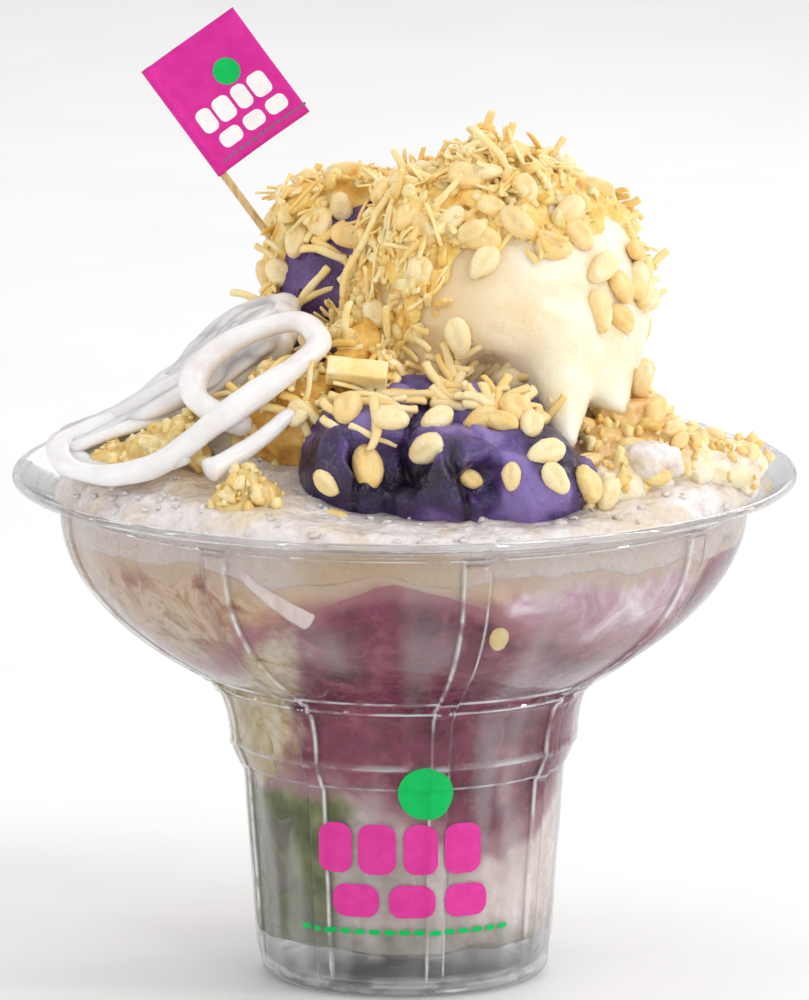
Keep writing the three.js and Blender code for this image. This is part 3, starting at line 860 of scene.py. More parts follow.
def grain(heap, at, normal, length, turn, seed, sink=0.3):
    """One puffed grain: egg-shaped, with a shallow dent along it and a knobbly skin."""
    width, height = 0.66, 0.52
    unit, faces = GRAIN_BALL
    p = unit.copy()
    p[:, 1] *= width * (1 + 0.12 * p[:, 0])
    p[:, 2] *= height * (1 - 0.12 * p[:, 0])
    p[:, 2] -= 0.2 * (np.exp(-((p[:, 1] / 0.16) ** 2) - (p[:, 0] / 0.62) ** 4) * (p[:, 2] > 0))
    broad, fine = noise(unit + seed * 3.1, 0.9, 91)[:, None], noise(unit + seed * 1.7, 0.4, 92)[:, None]
    p *= 1 + 0.13 * broad + 0.06 * fine
    p *= length / 2
    p[:, 2] += length / 2 * (height - 2 * height * sink)
    heap.add(np.asarray(at) + p @ frame_on(normal, turn), faces)


def shred(heap, at, normal, length, turn, width, bend, lift, tilt):
    """One shred of grated cheese: a bent, softly twisted strip with blunt uneven ends."""
    t = np.array([-0.5, -0.465, -0.34, -0.17, 0.0, 0.17, 0.34, 0.465, 0.5])
    sag = -np.abs(bend) * length * (2 * t) ** 2 * 0.3
    side = 0.5 * bend * length * ((2 * t) ** 2 - 0.4) + 0.025 * length * np.sin(7 * t + 31 * bend)
    path = np.stack([length * t, side, sag + tilt * length * t], axis=1)
    twist = 0.6 * bend + 3 * t * bend
    blunt = np.where(np.abs(t) > 0.49, 0.8, 1.0)
    wide = width * (1 + 0.07 * np.sin(13 * t + 17 * bend)) * blunt
    thick = width * 0.52 * (1 + 0.2 * np.sin(10 * t + bend * 20)) * blunt
    sides = 6
    corner = np.arange(sides) * TAU / sides
    rings = []
    for i in range(len(t)):
        y0, z0 = 0.56 * wide[i] * np.cos(corner), 0.56 * thick[i] * np.sin(corner)
        c, d = math.cos(twist[i]), math.sin(twist[i])
        rings.append(path[i] + np.stack([0 * y0, y0 * c - z0 * d, y0 * d + z0 * c], axis=1))
    p = np.vstack(rings)
    p[:, 2] += lift
    heap.add(np.asarray(at) + p @ frame_on(normal, turn), ring_faces(len(t), sides))


def crumb(heap, at, size, seed):
    ball, faces = FLAKE_BALL
    stretch = 1 + 0.35 * np.array([lattice(np.array([seed, k, 7]), 3) for k in range(3)])
    p = ball * (1 + 0.75 * noise(ball * 1.3 + seed * 2.3, 0.8, 95)[:, None]) * stretch * size / 2
    heap.add(np.asarray(at) + p, faces)


def cheese_block(heap, at, size, normal, turn, seed, corner=0.35):
    """A cut block of cheese with worn edges."""

    def field(p):
        q = np.abs(p) - (np.array(size) / 2 - corner)
        outside = np.sqrt((np.maximum(q, 0) ** 2).sum(-1)) + np.minimum(q.max(-1), 0) - corner
        return outside + 0.22 * noise(p, 1.8, seed) + 0.1 * noise(p, 0.8, seed + 1)

    reach = np.array(size) / 2 + 1
    points, faces = soft_body(field, -reach, reach, 0.3)
    heap.add(np.asarray(at) + points @ frame_on(normal, turn), faces)


# ---------------------------------------------------------------- finding places on surfaces
class Ground:
    """Surfaces that small things are laid on, in millimetres."""

    def __init__(self, *bodies):
        self.trees = []
        for points, faces in bodies:
            self.trees.append(BVHTree.FromPolygons(points.tolist(), [list(map(int, f)) for f in faces]))

    def from_front(self, x, height):
        """(place, normal) where the line of sight at a height up the front first meets a surface."""
        start = np.array([x, 0, 0]) + height * UPWARD - 200 * FORWARD
        best = None
        for tree in self.trees:
            place, normal, _, gap = tree.ray_cast(Vector(start), Vector(FORWARD))
            if place is not None and (best is None or gap < best[2]):
                if normal.dot(Vector(FORWARD)) > 0:
                    normal = -normal
                best = (np.array(place), np.array(normal), gap)
        return best and best[:2]


def scattered(body, count, keep, seed):
    """Random (place, normal) pairs on a body's faces, spread by area, where keep(place, normal)."""
    points, faces = body
    quads = np.array([f for f in faces if len(f) == 4])
    a, b, c, d = (points[quads[:, k]] for k in range(4))
    normal = np.cross(c - a, d - b)
    area = np.linalg.norm(normal, axis=1) + 1e-9
    draw = np.random.default_rng(seed)
    picked = draw.choice(len(quads), size=count * 6, p=area / area.sum())
    u, v = draw.random((2, count * 6, 1))
    place = (a[picked] * (1 - u) + b[picked] * u) * (1 - v) + (d[picked] * (1 - u) + c[picked] * u) * v
    out = normal[picked] / area[picked][:, None]
    wanted = keep(place, out)
    return zip(place[wanted][:count], out[wanted][:count])


def strew_shreds(heap, body, count, keep, seed, long, wide, out, droop=0.0):
    """Shreds in clumps of four, laid every way on a body, some of them standing off it."""
    clump = 4
    draw = np.random.default_rng(seed)
    for at, normal in scattered(body, count // clump, keep, seed):
        main = draw.uniform(0, TAU)
        if draw.random() < droop:
            main = math.pi / 2 + draw.normal(0, 0.25)
        level = draw.uniform(-0.9, out)
        for _ in range(clump):
            step = draw.normal(0, 1.5, 3)
            step -= normal * (step @ normal)
            length, turn = draw.uniform(*long), main + draw.normal(0, 0.45)
            width, bend = draw.uniform(*wide), draw.normal(0.03, 0.1)
            lift, tilt = level + draw.uniform(-0.4, 0.4), draw.normal(0, 0.12)
            shred(heap, at + step, normal, length, turn, width, bend, lift, tilt)


def drop_shreds(heap, ground, spots, seed):
    """Shreds laid on the front at listed spots: (across, height, how many, spread across, spread up,
    turn, length)."""
    draw = np.random.default_rng(seed)
    for x, height, count, wide, tall, mean_turn, mean_length in spots:
        for _ in range(count):
            found = ground.from_front(x + draw.normal(0, wide), height + draw.normal(0, tall))
            if found is None:
                continue
            at, normal = found
            length, turn = mean_length * draw.uniform(0.75, 1.2), math.radians(mean_turn + draw.normal(0, 20))
            width, bend = draw.uniform(1.0, 1.7), draw.normal(0.05, 0.1)
            lift, tilt = draw.uniform(-0.2, 0.9), draw.normal(0, 0.05)
            shred(heap, at, 0.5 * normal - 0.5 * FORWARD, length, turn, width, bend, lift, tilt)


def strew_grains(heap, body, count, keep, seed, size):
    draw = np.random.default_rng(seed)
    for k, (at, normal) in enumerate(scattered(body, count, keep, seed)):
        length, turn = draw.uniform(*size), draw.uniform(0, TAU)
        grain(heap, at, normal, length, turn, seed * 7 + k, sink=draw.uniform(0.1, 0.4))


# ---------------------------------------------------------------- looks
MILK_TO_UBE, UBE_TO_CREAM, CREAM_TO_ICE = (164, 124, 130), (160, 106, 112), (192, 168, 146)


def soaked_ice(name, colours, patch):
    """Crushed ice soaked with colour, in patches about `patch` across."""
    s = Shader(name)
    stops = [(0.25 + 0.5 * k / (len(colours) - 1), c) for k, c in enumerate(colours)]
    s.colour(s.mottle(stops, patch, 4.0, 0.62, 0.5))
    s.over(s.curve(s.noise(patch * 0.55, 3.0, 0.6, 1.2), 0.54, 0.74, 0.0, 0.55), colours[-1])
    s.bump((s.noise(6.0, 2.0), 0.4), (s.cells(2.6, "SMOOTH_F1"), 0.5))
    s.rough(s.curve(s.noise(4.0), 0.3, 0.7, 0.168, 0.476))
    return s.set("Specular IOR Level", 0.18).subsurface(0.25, 2.0, (1.0, 0.8, 0.75))


def run_into(s, side, colour, reach):
    """Mix in the colour of the next layer within about `reach` millimetres of one side."""
    from_side = s.math("SUBTRACT", s.attribute(side), s.times(s.noise(5.5), reach * 2.2))
    s.over(s.curve(from_side, -1.1 * reach, 0.5 * reach, 0.97, 0.0), colour)


def milk_look():
    """Grey green at the left, where jelly shows through, and milky pink to the right."""
    s = soaked_ice("milky ice", [(150, 138, 132), (192, 178, 172), (226, 214, 210)], 9.0)
    across = s.wander("X", 8.0, 16.0)
    s.over(
        s.curve(across, 2.0, -6.0),
        s.mottle([(0.3, (58, 70, 32)), (0.5, (96, 104, 54)), (0.75, (144, 146, 104))], 7.0),
    )
    s.over(s.curve(across, 14.0, 25.0), s.mottle([(0.3, (202, 182, 176)), (0.7, (236, 224, 220))], 6.0))
    # thin, grey and see-through towards its foot
    s.over(s.curve(s.wander("Z", 6.0, 12.0), 22.0, 13.0, 0.0, 0.6), (100, 110, 92))
    run_into(s, "below_top", MILK_TO_UBE, 2.4)
    return s.material


def ube_look():
    s = soaked_ice("ube ice", [(70, 26, 44), (106, 44, 64), (130, 58, 82), (164, 100, 118)], 8.0)
    # cream and fruit run down the collar at the left, and pale milk at its far right
    across = s.wander("X", 7.0, 14.0)
    left = [(0.3, (136, 118, 78)), (0.45, (190, 172, 132)), (0.6, (206, 194, 176)), (0.75, (160, 146, 108))]
    s.over(s.curve(across, -8.0, -14.0), s.mottle(left, 6.0, 3.0, 0.6, 0.8))
    far_right = s.times(s.curve(across, 33.0, 38.0), s.curve(s.axis("Z"), 58.0, 46.0))
    s.over(far_right, s.mottle([(0.35, (206, 176, 182)), (0.7, (228, 212, 212))], 6.0))
    run_into(s, "above_foot", MILK_TO_UBE, 3.0)
    run_into(s, "below_top", UBE_TO_CREAM, 2.4)
    return s.material


def cream_look():
    """Beige at the middle, lilac and white to the right, olive and rosy streaks at the left."""
    s = soaked_ice("creamy ice", [(186, 148, 110), (208, 178, 138), (228, 206, 176)], 11.0)
    across = s.wander("X", 9.0, 20.0)
    right = [(0.28, (148, 86, 114)), (0.46, (194, 152, 170)), (0.66, (236, 220, 228))]
    left = [(0.28, (132, 72, 72)), (0.42, (166, 128, 102)), (0.56, (204, 180, 158)), (0.7, (156, 128, 76))]
    s.over(s.curve(across, 21.0, 30.0), s.mottle(right, 8.0, 4.0, 0.6, 0.8))
    s.over(s.curve(across, -10.0, -20.0), s.mottle(left, 7.0, 4.0, 0.6, 1.0))
    run_into(s, "above_foot", UBE_TO_CREAM, 3.2)
    run_into(s, "below_top", CREAM_TO_ICE, 3.0)
    return s.material


def mound_look():
    """White shaved ice, wet with cream between the flakes and stained near the ube."""
    s = Shader("shaved ice", 0.34)
    white = [(0.25, (214, 200, 196)), (0.5, (238, 230, 227)), (0.8, (252, 249, 248))]
    s.colour(s.mottle(white, 4.0, 4.0, 0.65))
    s.over(s.curve(s.noise(12.0, 3.0, 0.5, 0.6), 0.46, 0.66, 0.0, 0.75), (228, 208, 178))
    stain = s.curve(s.noise(10.0, 3.0, 0.5, 0.5), 0.6, 0.74, 0.0, 0.4)
    s.over(s.times(stain, s.curve(s.axis("X"), -30.0, 10.0)), (196, 170, 192))
    # greyer against the wall, where in the middle the ice is soaked beige
    s.over(s.curve(s.wander("Z", 5.0, 3.0), 84.8, 82.0, 0.0, 0.85), (194, 174, 164))
    across = s.wander("X", 8.0, 14.0)
    middle = s.times(s.curve(across, -14.0, -6.0), s.curve(across, 21.0, 13.0))
    s.over(s.times(s.times(middle, s.curve(s.axis("Z"), 83.0, 81.0)), 0.9), (190, 160, 124))
    s.bump((s.noise(3.0), 0.9), (s.cells(1.3, "SMOOTH_F1"), 0.45))
    return s.subsurface(0.35, 2.5, (1.0, 0.9, 0.85)).coat(0.25).material


def syrup_look():
    """Thin cloudy syrup: the cup's bottom can be made out through it."""
    s = Shader("clear syrup", 0.15)
    s.colour(s.mix(s.curve(s.wander("X", 8.0, 12.0), -8.0, 18.0), (100, 108, 98), (168, 168, 166)))
    s.over(s.curve(s.noise(5.0), 0.45, 0.7, 0.0, 0.5), (240, 238, 236))
    return s.bump((s.noise(6.0, 2.0), 0.3)).set("Alpha", 0.16).set("Specular IOR Level", 0.2).material


def jelly_look():
    s = Shader("green jelly", 0.14)
    s.colour(s.mottle([(0.3, (52, 48, 22)), (0.5, (84, 80, 44)), (0.72, (124, 120, 88))], 7.0, 3.0, 0.5, 0.6))
    return s.bump((s.noise(5.0, 2.0), 0.6)).coat(0.5).subsurface(0.3, 2.0, (0.8, 1.0, 0.4)).material


def fruit_look(name, dark, mid, light):
    """Syrupy jackfruit: fibres run along it and it glows a little."""
    s = Shader(name, 0.2)
    fibre = s.noise(2.2, 3.0, 0.6, 0.3, (1, 0.35, 0.35))
    tone = s.add(s.times(fibre, 0.5), s.times(s.noise(6.0), 0.5))
    s.colour(s.ramp(tone, [(0.3, dark), (0.5, mid), (0.7, light)]))
    s.bump((fibre, 0.35), (s.noise(0.8, 2.0), 0.08))
    return s.coat(0.5, 0.08).subsurface(0.35, 2.2, (1.0, 0.7, 0.25)).material


def ice_cream_look():
    s = Shader("ice cream", 0.32)
    cream = [(0.3, (246, 226, 188)), (0.5, (252, 238, 210)), (0.72, (255, 247, 230))]
    s.colour(s.mottle(cream, 12.0, 4.0, 0.5, 0.4))
    # painted shade: darker cream towards the left, away from the key light on the right
    s.over(s.curve(s.wander("X", 9.0, 12.0), 32.0, 12.0, 0.0, 0.85), (233, 206, 158))
    pores = s.curve(s.cells(1.6), 0.08, 0.22)
    s.bump((s.noise(9.0), 0.7), (s.noise(2.0), 0.16), (pores, 0.05))
    s.rough(s.curve(s.noise(6.0), 0.35, 0.7, 0.22, 0.48))
    return s.subsurface(0.5, 3.0, (1.0, 0.82, 0.55)).coat(0.25, 0.15).material


def jam_look():
    s = Shader("ube jam", 0.4)
    # the tone attribute carries painted shade in the hollows and folds and painted light on the higher parts
    tone = s.add(s.times(s.attribute("tone"), 0.8), s.times(s.noise(3.5, 4.0), 0.4))
    violet = [(0.2, (26, 16, 36)), (0.46, (56, 36, 86)), (0.7, (92, 68, 136)), (1.0, (138, 116, 182))]
    s.colour(s.ramp(tone, violet))
    s.bump((s.noise(4.5), 0.8), (s.noise(1.6), 0.5), (s.noise(0.7), 0.22))
    s.rough(s.curve(s.noise(3.0), 0.3, 0.7, 0.25, 0.6))
    return s.subsurface(0.2, 1.6, (0.7, 0.5, 1.0)).coat(0.22, 0.12).material


def back_scoop_look():
    s = Shader("ube scoop", 0.42)
    s.colour(s.mottle([(0.3, (66, 44, 92)), (0.52, (96, 66, 128)), (0.75, (126, 96, 160))], 5.0, 4.0, 0.6))
    s.bump((s.noise(3.0), 0.7), (s.noise(0.9), 0.25))
    return s.subsurface(0.2, 1.5, (0.8, 0.5, 1.0)).material


def coconut_look():
    s = Shader("coconut strand", 0.28)
    white = [(0.3, (238, 230, 228)), (0.55, (248, 245, 245)), (0.75, (255, 254, 254))]
    s.colour(s.mottle(white, 7.0, 3.0, 0.5, 0.5))
    s.bump((s.noise(5.0, 2.0), 0.35), (s.noise(1.2, 2.0), 0.05))
    return s.subsurface(0.5, 3.0, (1.0, 0.95, 0.95)).coat(0.4, 0.16).material


def cheese_look(name, stops, pore=0.12, glow=(0.08, 0.5)):
    """Cheese of one kind, more golden on some of the bodies than on others."""
    s = Shader(name, 0.42)
    s.colour(s.mottle(stops, 3.5, 4.0, 0.6))
    s.over(s.curve(s.attribute("own"), 0.5, 1.0, 0.0, 0.7), (248, 202, 100))
    s.bump((s.noise(1.1), pore), (s.noise(0.4, 2.0), 0.05))
    return s.subsurface(*glow, (1.0, 0.75, 0.4)).material


def grain_look():
    """Puffed rice: ivory to golden from grain to grain, paler along the knobs."""
    s = Shader("puffed rice", 0.42)
    s.colour(s.mottle([(0.3, (254, 226, 164)), (0.7, (255, 240, 200))], 3.0, 3.0, 0.5))
    gold = s.mottle([(0.3, (247, 204, 126)), (0.7, (254, 228, 164))], 3.0, 3.0, 0.5)
    s.over(s.curve(s.attribute("own"), 0.35, 0.8), gold)
    s.bump((s.noise(1.2), 0.3), (s.noise(0.45, 2.0), 0.1))
    return s.subsurface(0.15, 0.8, (1.0, 0.8, 0.5)).material


def melted_look():
    s = Shader("melted ice cream", 0.3)
    pool = [(0.28, (226, 196, 196)), (0.42, (250, 236, 208)), (0.6, (252, 232, 190)), (0.75, (240, 206, 144))]
    s.colour(s.mottle(pool, 7.0, 4.0, 0.6, 0.8))
    s.over(s.curve(s.wander("Z", 6.0, 9.0), 94.0, 100.0, 0.0, 0.8), (240, 190, 104))
    s.bump((s.noise(4.0), 0.6), (s.noise(1.3), 0.2))
    return s.subsurface(0.45, 2.5, (1.0, 0.85, 0.6)).coat(0.4).material


def wood_look():
    s = Shader("pick wood", 0.55)
    wood = [(0.3, (184, 148, 90)), (0.5, (214, 184, 126)), (0.7, (230, 206, 156))]
    s.colour(s.mottle(wood, 1.2, 4.0, 0.6, 0.3, (1, 1, 0.12)))
    return s.bump((s.noise(0.5, 3.0, 0.6, 0.0, (1, 1, 0.1)), 0.08)).material


def print_look(name, colour, depth=0.02):
    """Printed ink: one colour with the faint unevenness of ink."""
    s = Shader(name, 0.6).set("Specular IOR Level", 0.2)
    pale = tuple(min(255, c + 10) for c in colour)
    s.colour(s.mottle([(0.35, colour), (0.7, pale)], 2.4))
    return s.bump((s.noise(0.6, 2.0), depth)).material


# ---------------------------------------------------------------- the cup and what fills it
def cup_floor(x, y):
    return 2.2 + 0 * x


make_cup(clear_plastic())
make_layer("syrup_layer", cup_floor, syrup_top, syrup_look(), "clear_syrup", "syrup", 8)
make_layer("milk_ice_layer", syrup_top, milk_top, milk_look(), "milk_ice", "milk_ice", 26)
make_layer("ube_ice_layer", milk_top, ube_top, ube_look(), "ube_ice", "ube_ice", 30)
make_layer("cream_ice_layer", ube_top, cream_top, cream_look(), "cream_ice", "cream_ice", 18)
mound = make_mound(mound_look())

lean_lump("green_jelly_piece", "green_jelly", 1.6, 17, jelly_look(), "green_jelly")
soaked_fruit = fruit_look("sunken jackfruit", (120, 96, 52), (170, 148, 96), (196, 178, 140))
lean_lump("collar_jackfruit_piece", "collar_jackfruit", 1.4, 18, soaked_fruit, "jackfruit")

# ---------------------------------------------------------------- the big toppings
GLOW = (0.4, 1.4)  # weight and depth of the light that soaks into thick cheese
golden_fruit = fruit_look("jackfruit", (206, 162, 72), (232, 198, 120), (246, 228, 176))
bodies = {
    "scoop": soft_body(ice_cream_field, (-17, -36, 80), (46, 34, 140), 0.74),
    "jam": soft_body(jam_field, (-22, -54, 76), (36, -10, 112), 0.54),
    "back": soft_body(back_scoop_field, (-27, -6, 86), (15, 36, 135), 0.7),
    "top_cheese": soft_body(top_cheese_field, (-16, -30, 98), (47, 34, 147), 0.66),
    "back_cheese": soft_body(back_cheese_field, (-29, -8, 88), (17, 38, 138), 0.6),
    "valley": soft_body(valley_cheese_field, (-33, -37, 80), (6, -2, 117), 0.6),
    "right": soft_body(right_heap_field, (16, -42, 76), (63, 6, 100), 0.6),
    "mound": mound,
}
# painted shade: the cheese under the shreds is a darker, more golden copy of the grated cheese, for the shade
# between the shreds
shaded_core_stops = [(0.3, (242, 190, 88)), (0.5, (252, 214, 126)), (0.75, (255, 236, 172))]
pale_stops = [(0.3, (254, 218, 138)), (0.5, (255, 232, 166)), (0.75, (255, 245, 206))]
white_stops = [(0.3, (255, 218, 146)), (0.5, (255, 232, 176)), (0.75, (255, 244, 208))]
gold_stops = [(0.3, (204, 146, 52)), (0.5, (234, 184, 84)), (0.75, (248, 214, 132))]
cheese_shaded_core = cheese_look("shaded cheese", shaded_core_stops, 0.5, GLOW)
cheese_pale = cheese_look("grated cheese", pale_stops)
cheese_white = cheese_look("white cheese", white_stops)
cheese_gold = cheese_look("golden cheese", gold_stops, 0.5, GLOW)
make_mesh("ice_cream", *bodies["scoop"], ice_cream_look(), "ice_cream", ["ice_cream_scoop"])
jam = make_mesh("ube_jam", *bodies["jam"], jam_look(), "ube_jam", ["front_ube_jam"])
add_attribute(jam, "tone", jam_tone_and_shade(bodies["jam"][0]))
make_mesh("ube_scoop", *bodies["back"], back_scoop_look(), "ube_scoop", ["back_ube_scoop"])
make_mesh("cheese_on_scoop", *bodies["top_cheese"], cheese_shaded_core, "cheese", ["top_cheese"])
make_mesh("cheese_behind", *bodies["back_cheese"], cheese_shaded_core, "cheese", ["back_cheese"])
make_mesh("cheese_in_valley", *bodies["valley"], cheese_gold, "cheese", ["valley_cheese"])
make_mesh("melted_cream_and_rice", *bodies["right"], melted_look(), "crisped_rice", ["right_crumbs"])


def fruit_piece(name, node, seed, blobs):
    corners = np.array([np.array(c) + s * (np.array(r) + 2) for c, r in blobs for s in (-1, 1)], float)
    body = soft_body(lump_field(blobs, seed, 1.0, 0.5), corners.min(0), corners.max(0), 0.4)
    make_mesh(name, *body, golden_fruit, "jackfruit", [node])
    return body


bodies["left_fruit"] = fruit_piece("left_jackfruit_piece", "left_jackfruit", 101, [
    ((-47.5, -24, 90.6), (4.6, 3.8, 2.6)), ((-41.5, -25.0, 92.6), (4.6, 4.2, 3.6)),
    ((-36.4, -24.5, 94.4), (4.2, 4, 4)), ((-34.5, -28.5, 93.0), (3.2, 2.8, 2.6)),
    ((-44, -27.5, 90.6), (3.4, 2.6, 2.2)),
])  # fmt: skip
bodies["front_fruit"] = fruit_piece("front_jackfruit_piece", "front_jackfruit", 104, [
    ((-29.0, -42.3, 87.4), (2.4, 2.6, 3.6)), ((-25.6, -42.0, 89.2), (2.6, 2.6, 3.6)),
    ((-22.4, -42, 87.2), (2.6, 2.8, 3.4)), ((-26.2, -44.0, 86.0), (2.6, 2.2, 2.4)),
])  # fmt: skip
lump = lump_field([((38.5, -29, 91.6), (4.6, 4.0, 3.8)), ((42, -27, 91.0), (3.4, 3.4, 3.2))], 107, 1.3, 1.5)
make_mesh("ice_lump", *soft_body(lump, (31, -36, 84), (49, -20, 99), 0.5), mound_look(), "shaved_ice")

# a short thick stick of cheese that lies across the valley
low, high = node_box("cheese_stick")
stick = Heap()
stick_at = (low + high) / 2 + (0, -1.5, 0.6)
cheese_block(stick, stick_at, (10.0, 3.4, 4.6), (0.05, -0.75, 0.6), math.radians(-172), 111)
stick.make("cheese_stick_piece", cheese_pale, "cheese", ["cheese_stick"])

# ---------------------------------------------------------------- coconut strands
LOOP = [
    (-38, -7, 101.5), (-44, -11, 96), (-51.5, -14, 94), (-56.5, -18, 91.8), (-54.5, -25, 89.8),
    (-48, -31, 89.8), (-40, -35, 92.5), (-31.8, -34.5, 98.5), (-25, -32.5, 103), (-17.5, -29, 107.7),
    (-14, -24, 110.8), (-18, -19.5, 113.2), (-27, -18.5, 110.4), (-33.5, -20, 105.7),
    (-34.5, -24, 102), (-31, -28.5, 99.6), (-25, -31, 97.5),
]  # fmt: skip
LOOP_PLACES = 190
strand = Heap()
loop_r = 2.25 + 0.25 * np.sin(np.linspace(0, 17, LOOP_PLACES)) + 0.2 * np.sin(np.linspace(0, 41, LOOP_PLACES))
strand.add(*swept(smooth_path(LOOP, LOOP_PLACES), loop_r, 18, 0.86, bumps=0.06, seed=121))
strand.make("coconut_loop", coconut_look(), "coconut", ["coconut_strand"])

BACK_EDGE = [
    (-20, 1, 114.0), (-27, 2, 110.5), (-33.5, 2, 106.0),
    (-39, 2, 100.0), (-45, 1, 95.0), (-57, -4, 91.0),
]  # fmt: skip
FRONT_EDGE = [
    (-21, -15, 109.0), (-27, -17, 104.5), (-33.5, -18, 100.3),
    (-40, -19, 97.0), (-47.5, -19, 93.8), (-55, -20, 91.0),
]  # fmt: skip
ROPES, ROPE_PLACES = 13, 60
SHORT_STRAND = [(-18.2, -33, 101), (-22.5, -36, 97.5), (-28.7, -38.5, 93.6), (-32.2, -40.5, 92.2)]
LOW_STRAND = [(-35, -36, 94), (-42, -33, 91), (-49, -28, 90), (-55, -20, 91.5)]


def between_edges(i, share):
    """The i-th place along the bundle, at a share of the way from its back to its front edge."""
    return np.array(BACK_EDGE[i]) * (1 - share) + np.array(FRONT_EDGE[i]) * share


def strand_bed_field(p):
    """What lies under the strands, so that no gap between them is black."""
    body = None
    sunk = (0, 0, 1.3)
    for share in (0.12, 0.38, 0.64, 0.88):
        for i in range(len(BACK_EDGE) - 1):
            rope = cone(p, between_edges(i, share) - sunk, between_edges(i + 1, share) - sunk, 2.9, 2.6)
            body = rope if body is None else blend_in(body, rope, 2.0)
    return body + 0.5 * noise(p, 4.0, 155)


bundle = Heap()
for k in range(ROPES):
    share = k / (ROPES - 1)
    sway = rng.uniform(-1, 1, 6)
    lift = rng.uniform(-0.6, 1.6)
    start_cut = rng.integers(0, 2) if k % 4 == 1 else 0
    path = []
    for i in range(len(BACK_EDGE)):
        p = between_edges(i, share) + (0, 1.6 * sway[i], lift + 0.9 * sway[(i + 2) % 6])
        p[2] = max(p[2], float(mound_top(p[0], p[1])) + 1.0)
        path.append(p)
    radius = rng.uniform(2.3, 3.8) * (1 + 0.12 * np.sin(np.linspace(0, 9 + 4 * share, ROPE_PLACES)))
    places = smooth_path(path[start_cut:], ROPE_PLACES)
    bundle.add(*swept(places, radius, 14, 0.45, bumps=0.05, seed=130 + k))
bundle.add(*swept(smooth_path(SHORT_STRAND, 40), np.linspace(1.3, 2.6, 40), 14, 0.8, bumps=0.05, seed=151))
bundle.add(*swept(smooth_path(LOW_STRAND, 50), 1.6, 12, 0.8, seed=152))
bundle.add(*soft_body(strand_bed_field, (-62, -26, 82), (-14, 8, 120), 0.6))
bundle.make("coconut_strands", coconut_look(), "coconut", ["coconut_bundle"])


# ---------------------------------------------------------------- grated cheese
def on_cap(p, n):
    return (p[:, 2] > cheese_edge(p[:, 0], p[:, 1]) - 1.5) & (n[:, 2] > -0.5)


def left_of_cap(p, n):
    return on_cap(p, n) & ((p[:, 0] < 25) | (p[:, 1] > 8))


def left_side(p, n):
    return (p[:, 0] < 7) & (p[:, 2] > 101) & (n[:, 1] < 0.3) & (n[:, 0] < 0.5)


def off_bare(p, n):
    return (back_cheese_field(p) < back_scoop_field(p) - 0.1) & (p[:, 2] > 99)


def above(height, least_up):
    """Places over a height whose surface faces up at least so much."""
    return lambda p, n: (p[:, 2] > height) & (n[:, 2] > least_up)


shreds = Heap()
strew_shreds(shreds, bodies["top_cheese"], 860, left_of_cap, 201, (3, 11), (0.7, 1.35), 0.25, droop=0.25)
strew_shreds(shreds, bodies["top_cheese"], 120, left_side, 202, (8, 15), (0.8, 1.35), 0.4, droop=0.85)
strew_shreds(shreds, bodies["top_cheese"], 80, above(134, 0.2), 203, (4, 10), (0.9, 1.5), 1.0)
shreds.make("shreds_on_scoop", cheese_pale, "cheese")

shreds = Heap()
strew_shreds(shreds, bodies["back_cheese"], 430, off_bare, 204, (3, 10), (0.7, 1.2), 0.3)
strew_shreds(shreds, bodies["valley"], 110, above(0, -0.2), 205, (5, 12), (0.8, 1.3), 0.3)
drop_shreds(shreds, Ground(bodies["back"], bodies["back_cheese"]), [
    (-15.5, 112.5, 2, 0.6, 0.6, 155, 11.0), (-12.5, 119.0, 2, 0.8, 0.8, 25, 9.0),
    (-16.0, 108.0, 2, 0.8, 0.8, 10, 9.0), (-13.0, 124.0, 2, 1.0, 0.8, 120, 8.0),
], 218)  # fmt: skip
shreds.make("shreds_behind", cheese_pale, "cheese")

shreds = Heap()
drop_shreds(shreds, Ground(*(bodies[name] for name in ("jam", "valley", "scoop", "mound"))), [
    (-9.0, 94.0, 7, 3.0, 0.6, 2, 9.5), (-1.0, 94.6, 8, 3.0, 0.7, 4, 9.0),
    (7.0, 95.4, 10, 3.0, 1.0, 170, 8.0), (13.0, 97.5, 14, 3.5, 2.0, 150, 8.0),
    (11.0, 94.5, 10, 3.5, 1.4, 30, 7.0), (18.0, 94.0, 7, 2.5, 2.0, 130, 6.5),
    (8.5, 99.0, 6, 2.0, 1.6, 60, 7.0), (-5.0, 88.5, 2, 1.0, 1.2, 48, 10.5),
    (-11.5, 91.0, 2, 0.6, 1.0, 40, 7.0), (21.5, 90.5, 4, 1.6, 2.0, 120, 6.0),
    (-14.5, 92.5, 6, 2.5, 1.2, 30, 7.0), (-10.5, 75.5, 1, 0.2, 0.2, 60, 6.0),
], 206)  # fmt: skip
shreds.make("shreds_on_jam", cheese_white, "cheese")


# ---------------------------------------------------------------- a strand and a grain in the wall
def under_wall(x, z, deep):
    """A place on the front, `deep` inside the wall's outside, and the way out of the wall there."""
    rows, out = PROFILE[WALL_ROWS], outward(PROFILE)[WALL_ROWS]
    nr, nz = np.interp(z, rows[:, 1], out[:, 0]), np.interp(z, rows[:, 1], out[:, 1])
    r = wall_radius(z) - deep * nr
    y = -math.sqrt(r * r - x * x)
    return np.array([x, y, z - deep * nz]), np.array([nr * x / r, nr * y / r, nz])


SUNKEN = [(-28.5, 79.5), (-26.0, 76.5), (-22.0, 73.2), (-18.0, 70.6), (-14.8, 68.8)]
sunken_path, sunken_out = (smooth_path([under_wall(x, z, 0.62)[k] for x, z in SUNKEN], 40) for k in (0, 1))
sunk = Heap()
sunk.add(*swept(sunken_path, np.linspace(1.3, 2.5, 40), 20, 0.22, up=sunken_out))
soaked_strand = fruit_look("soaked strand", (206, 176, 170), (224, 202, 196), (238, 224, 220))
sunk.make("sunken_strand", soaked_strand, "coconut")

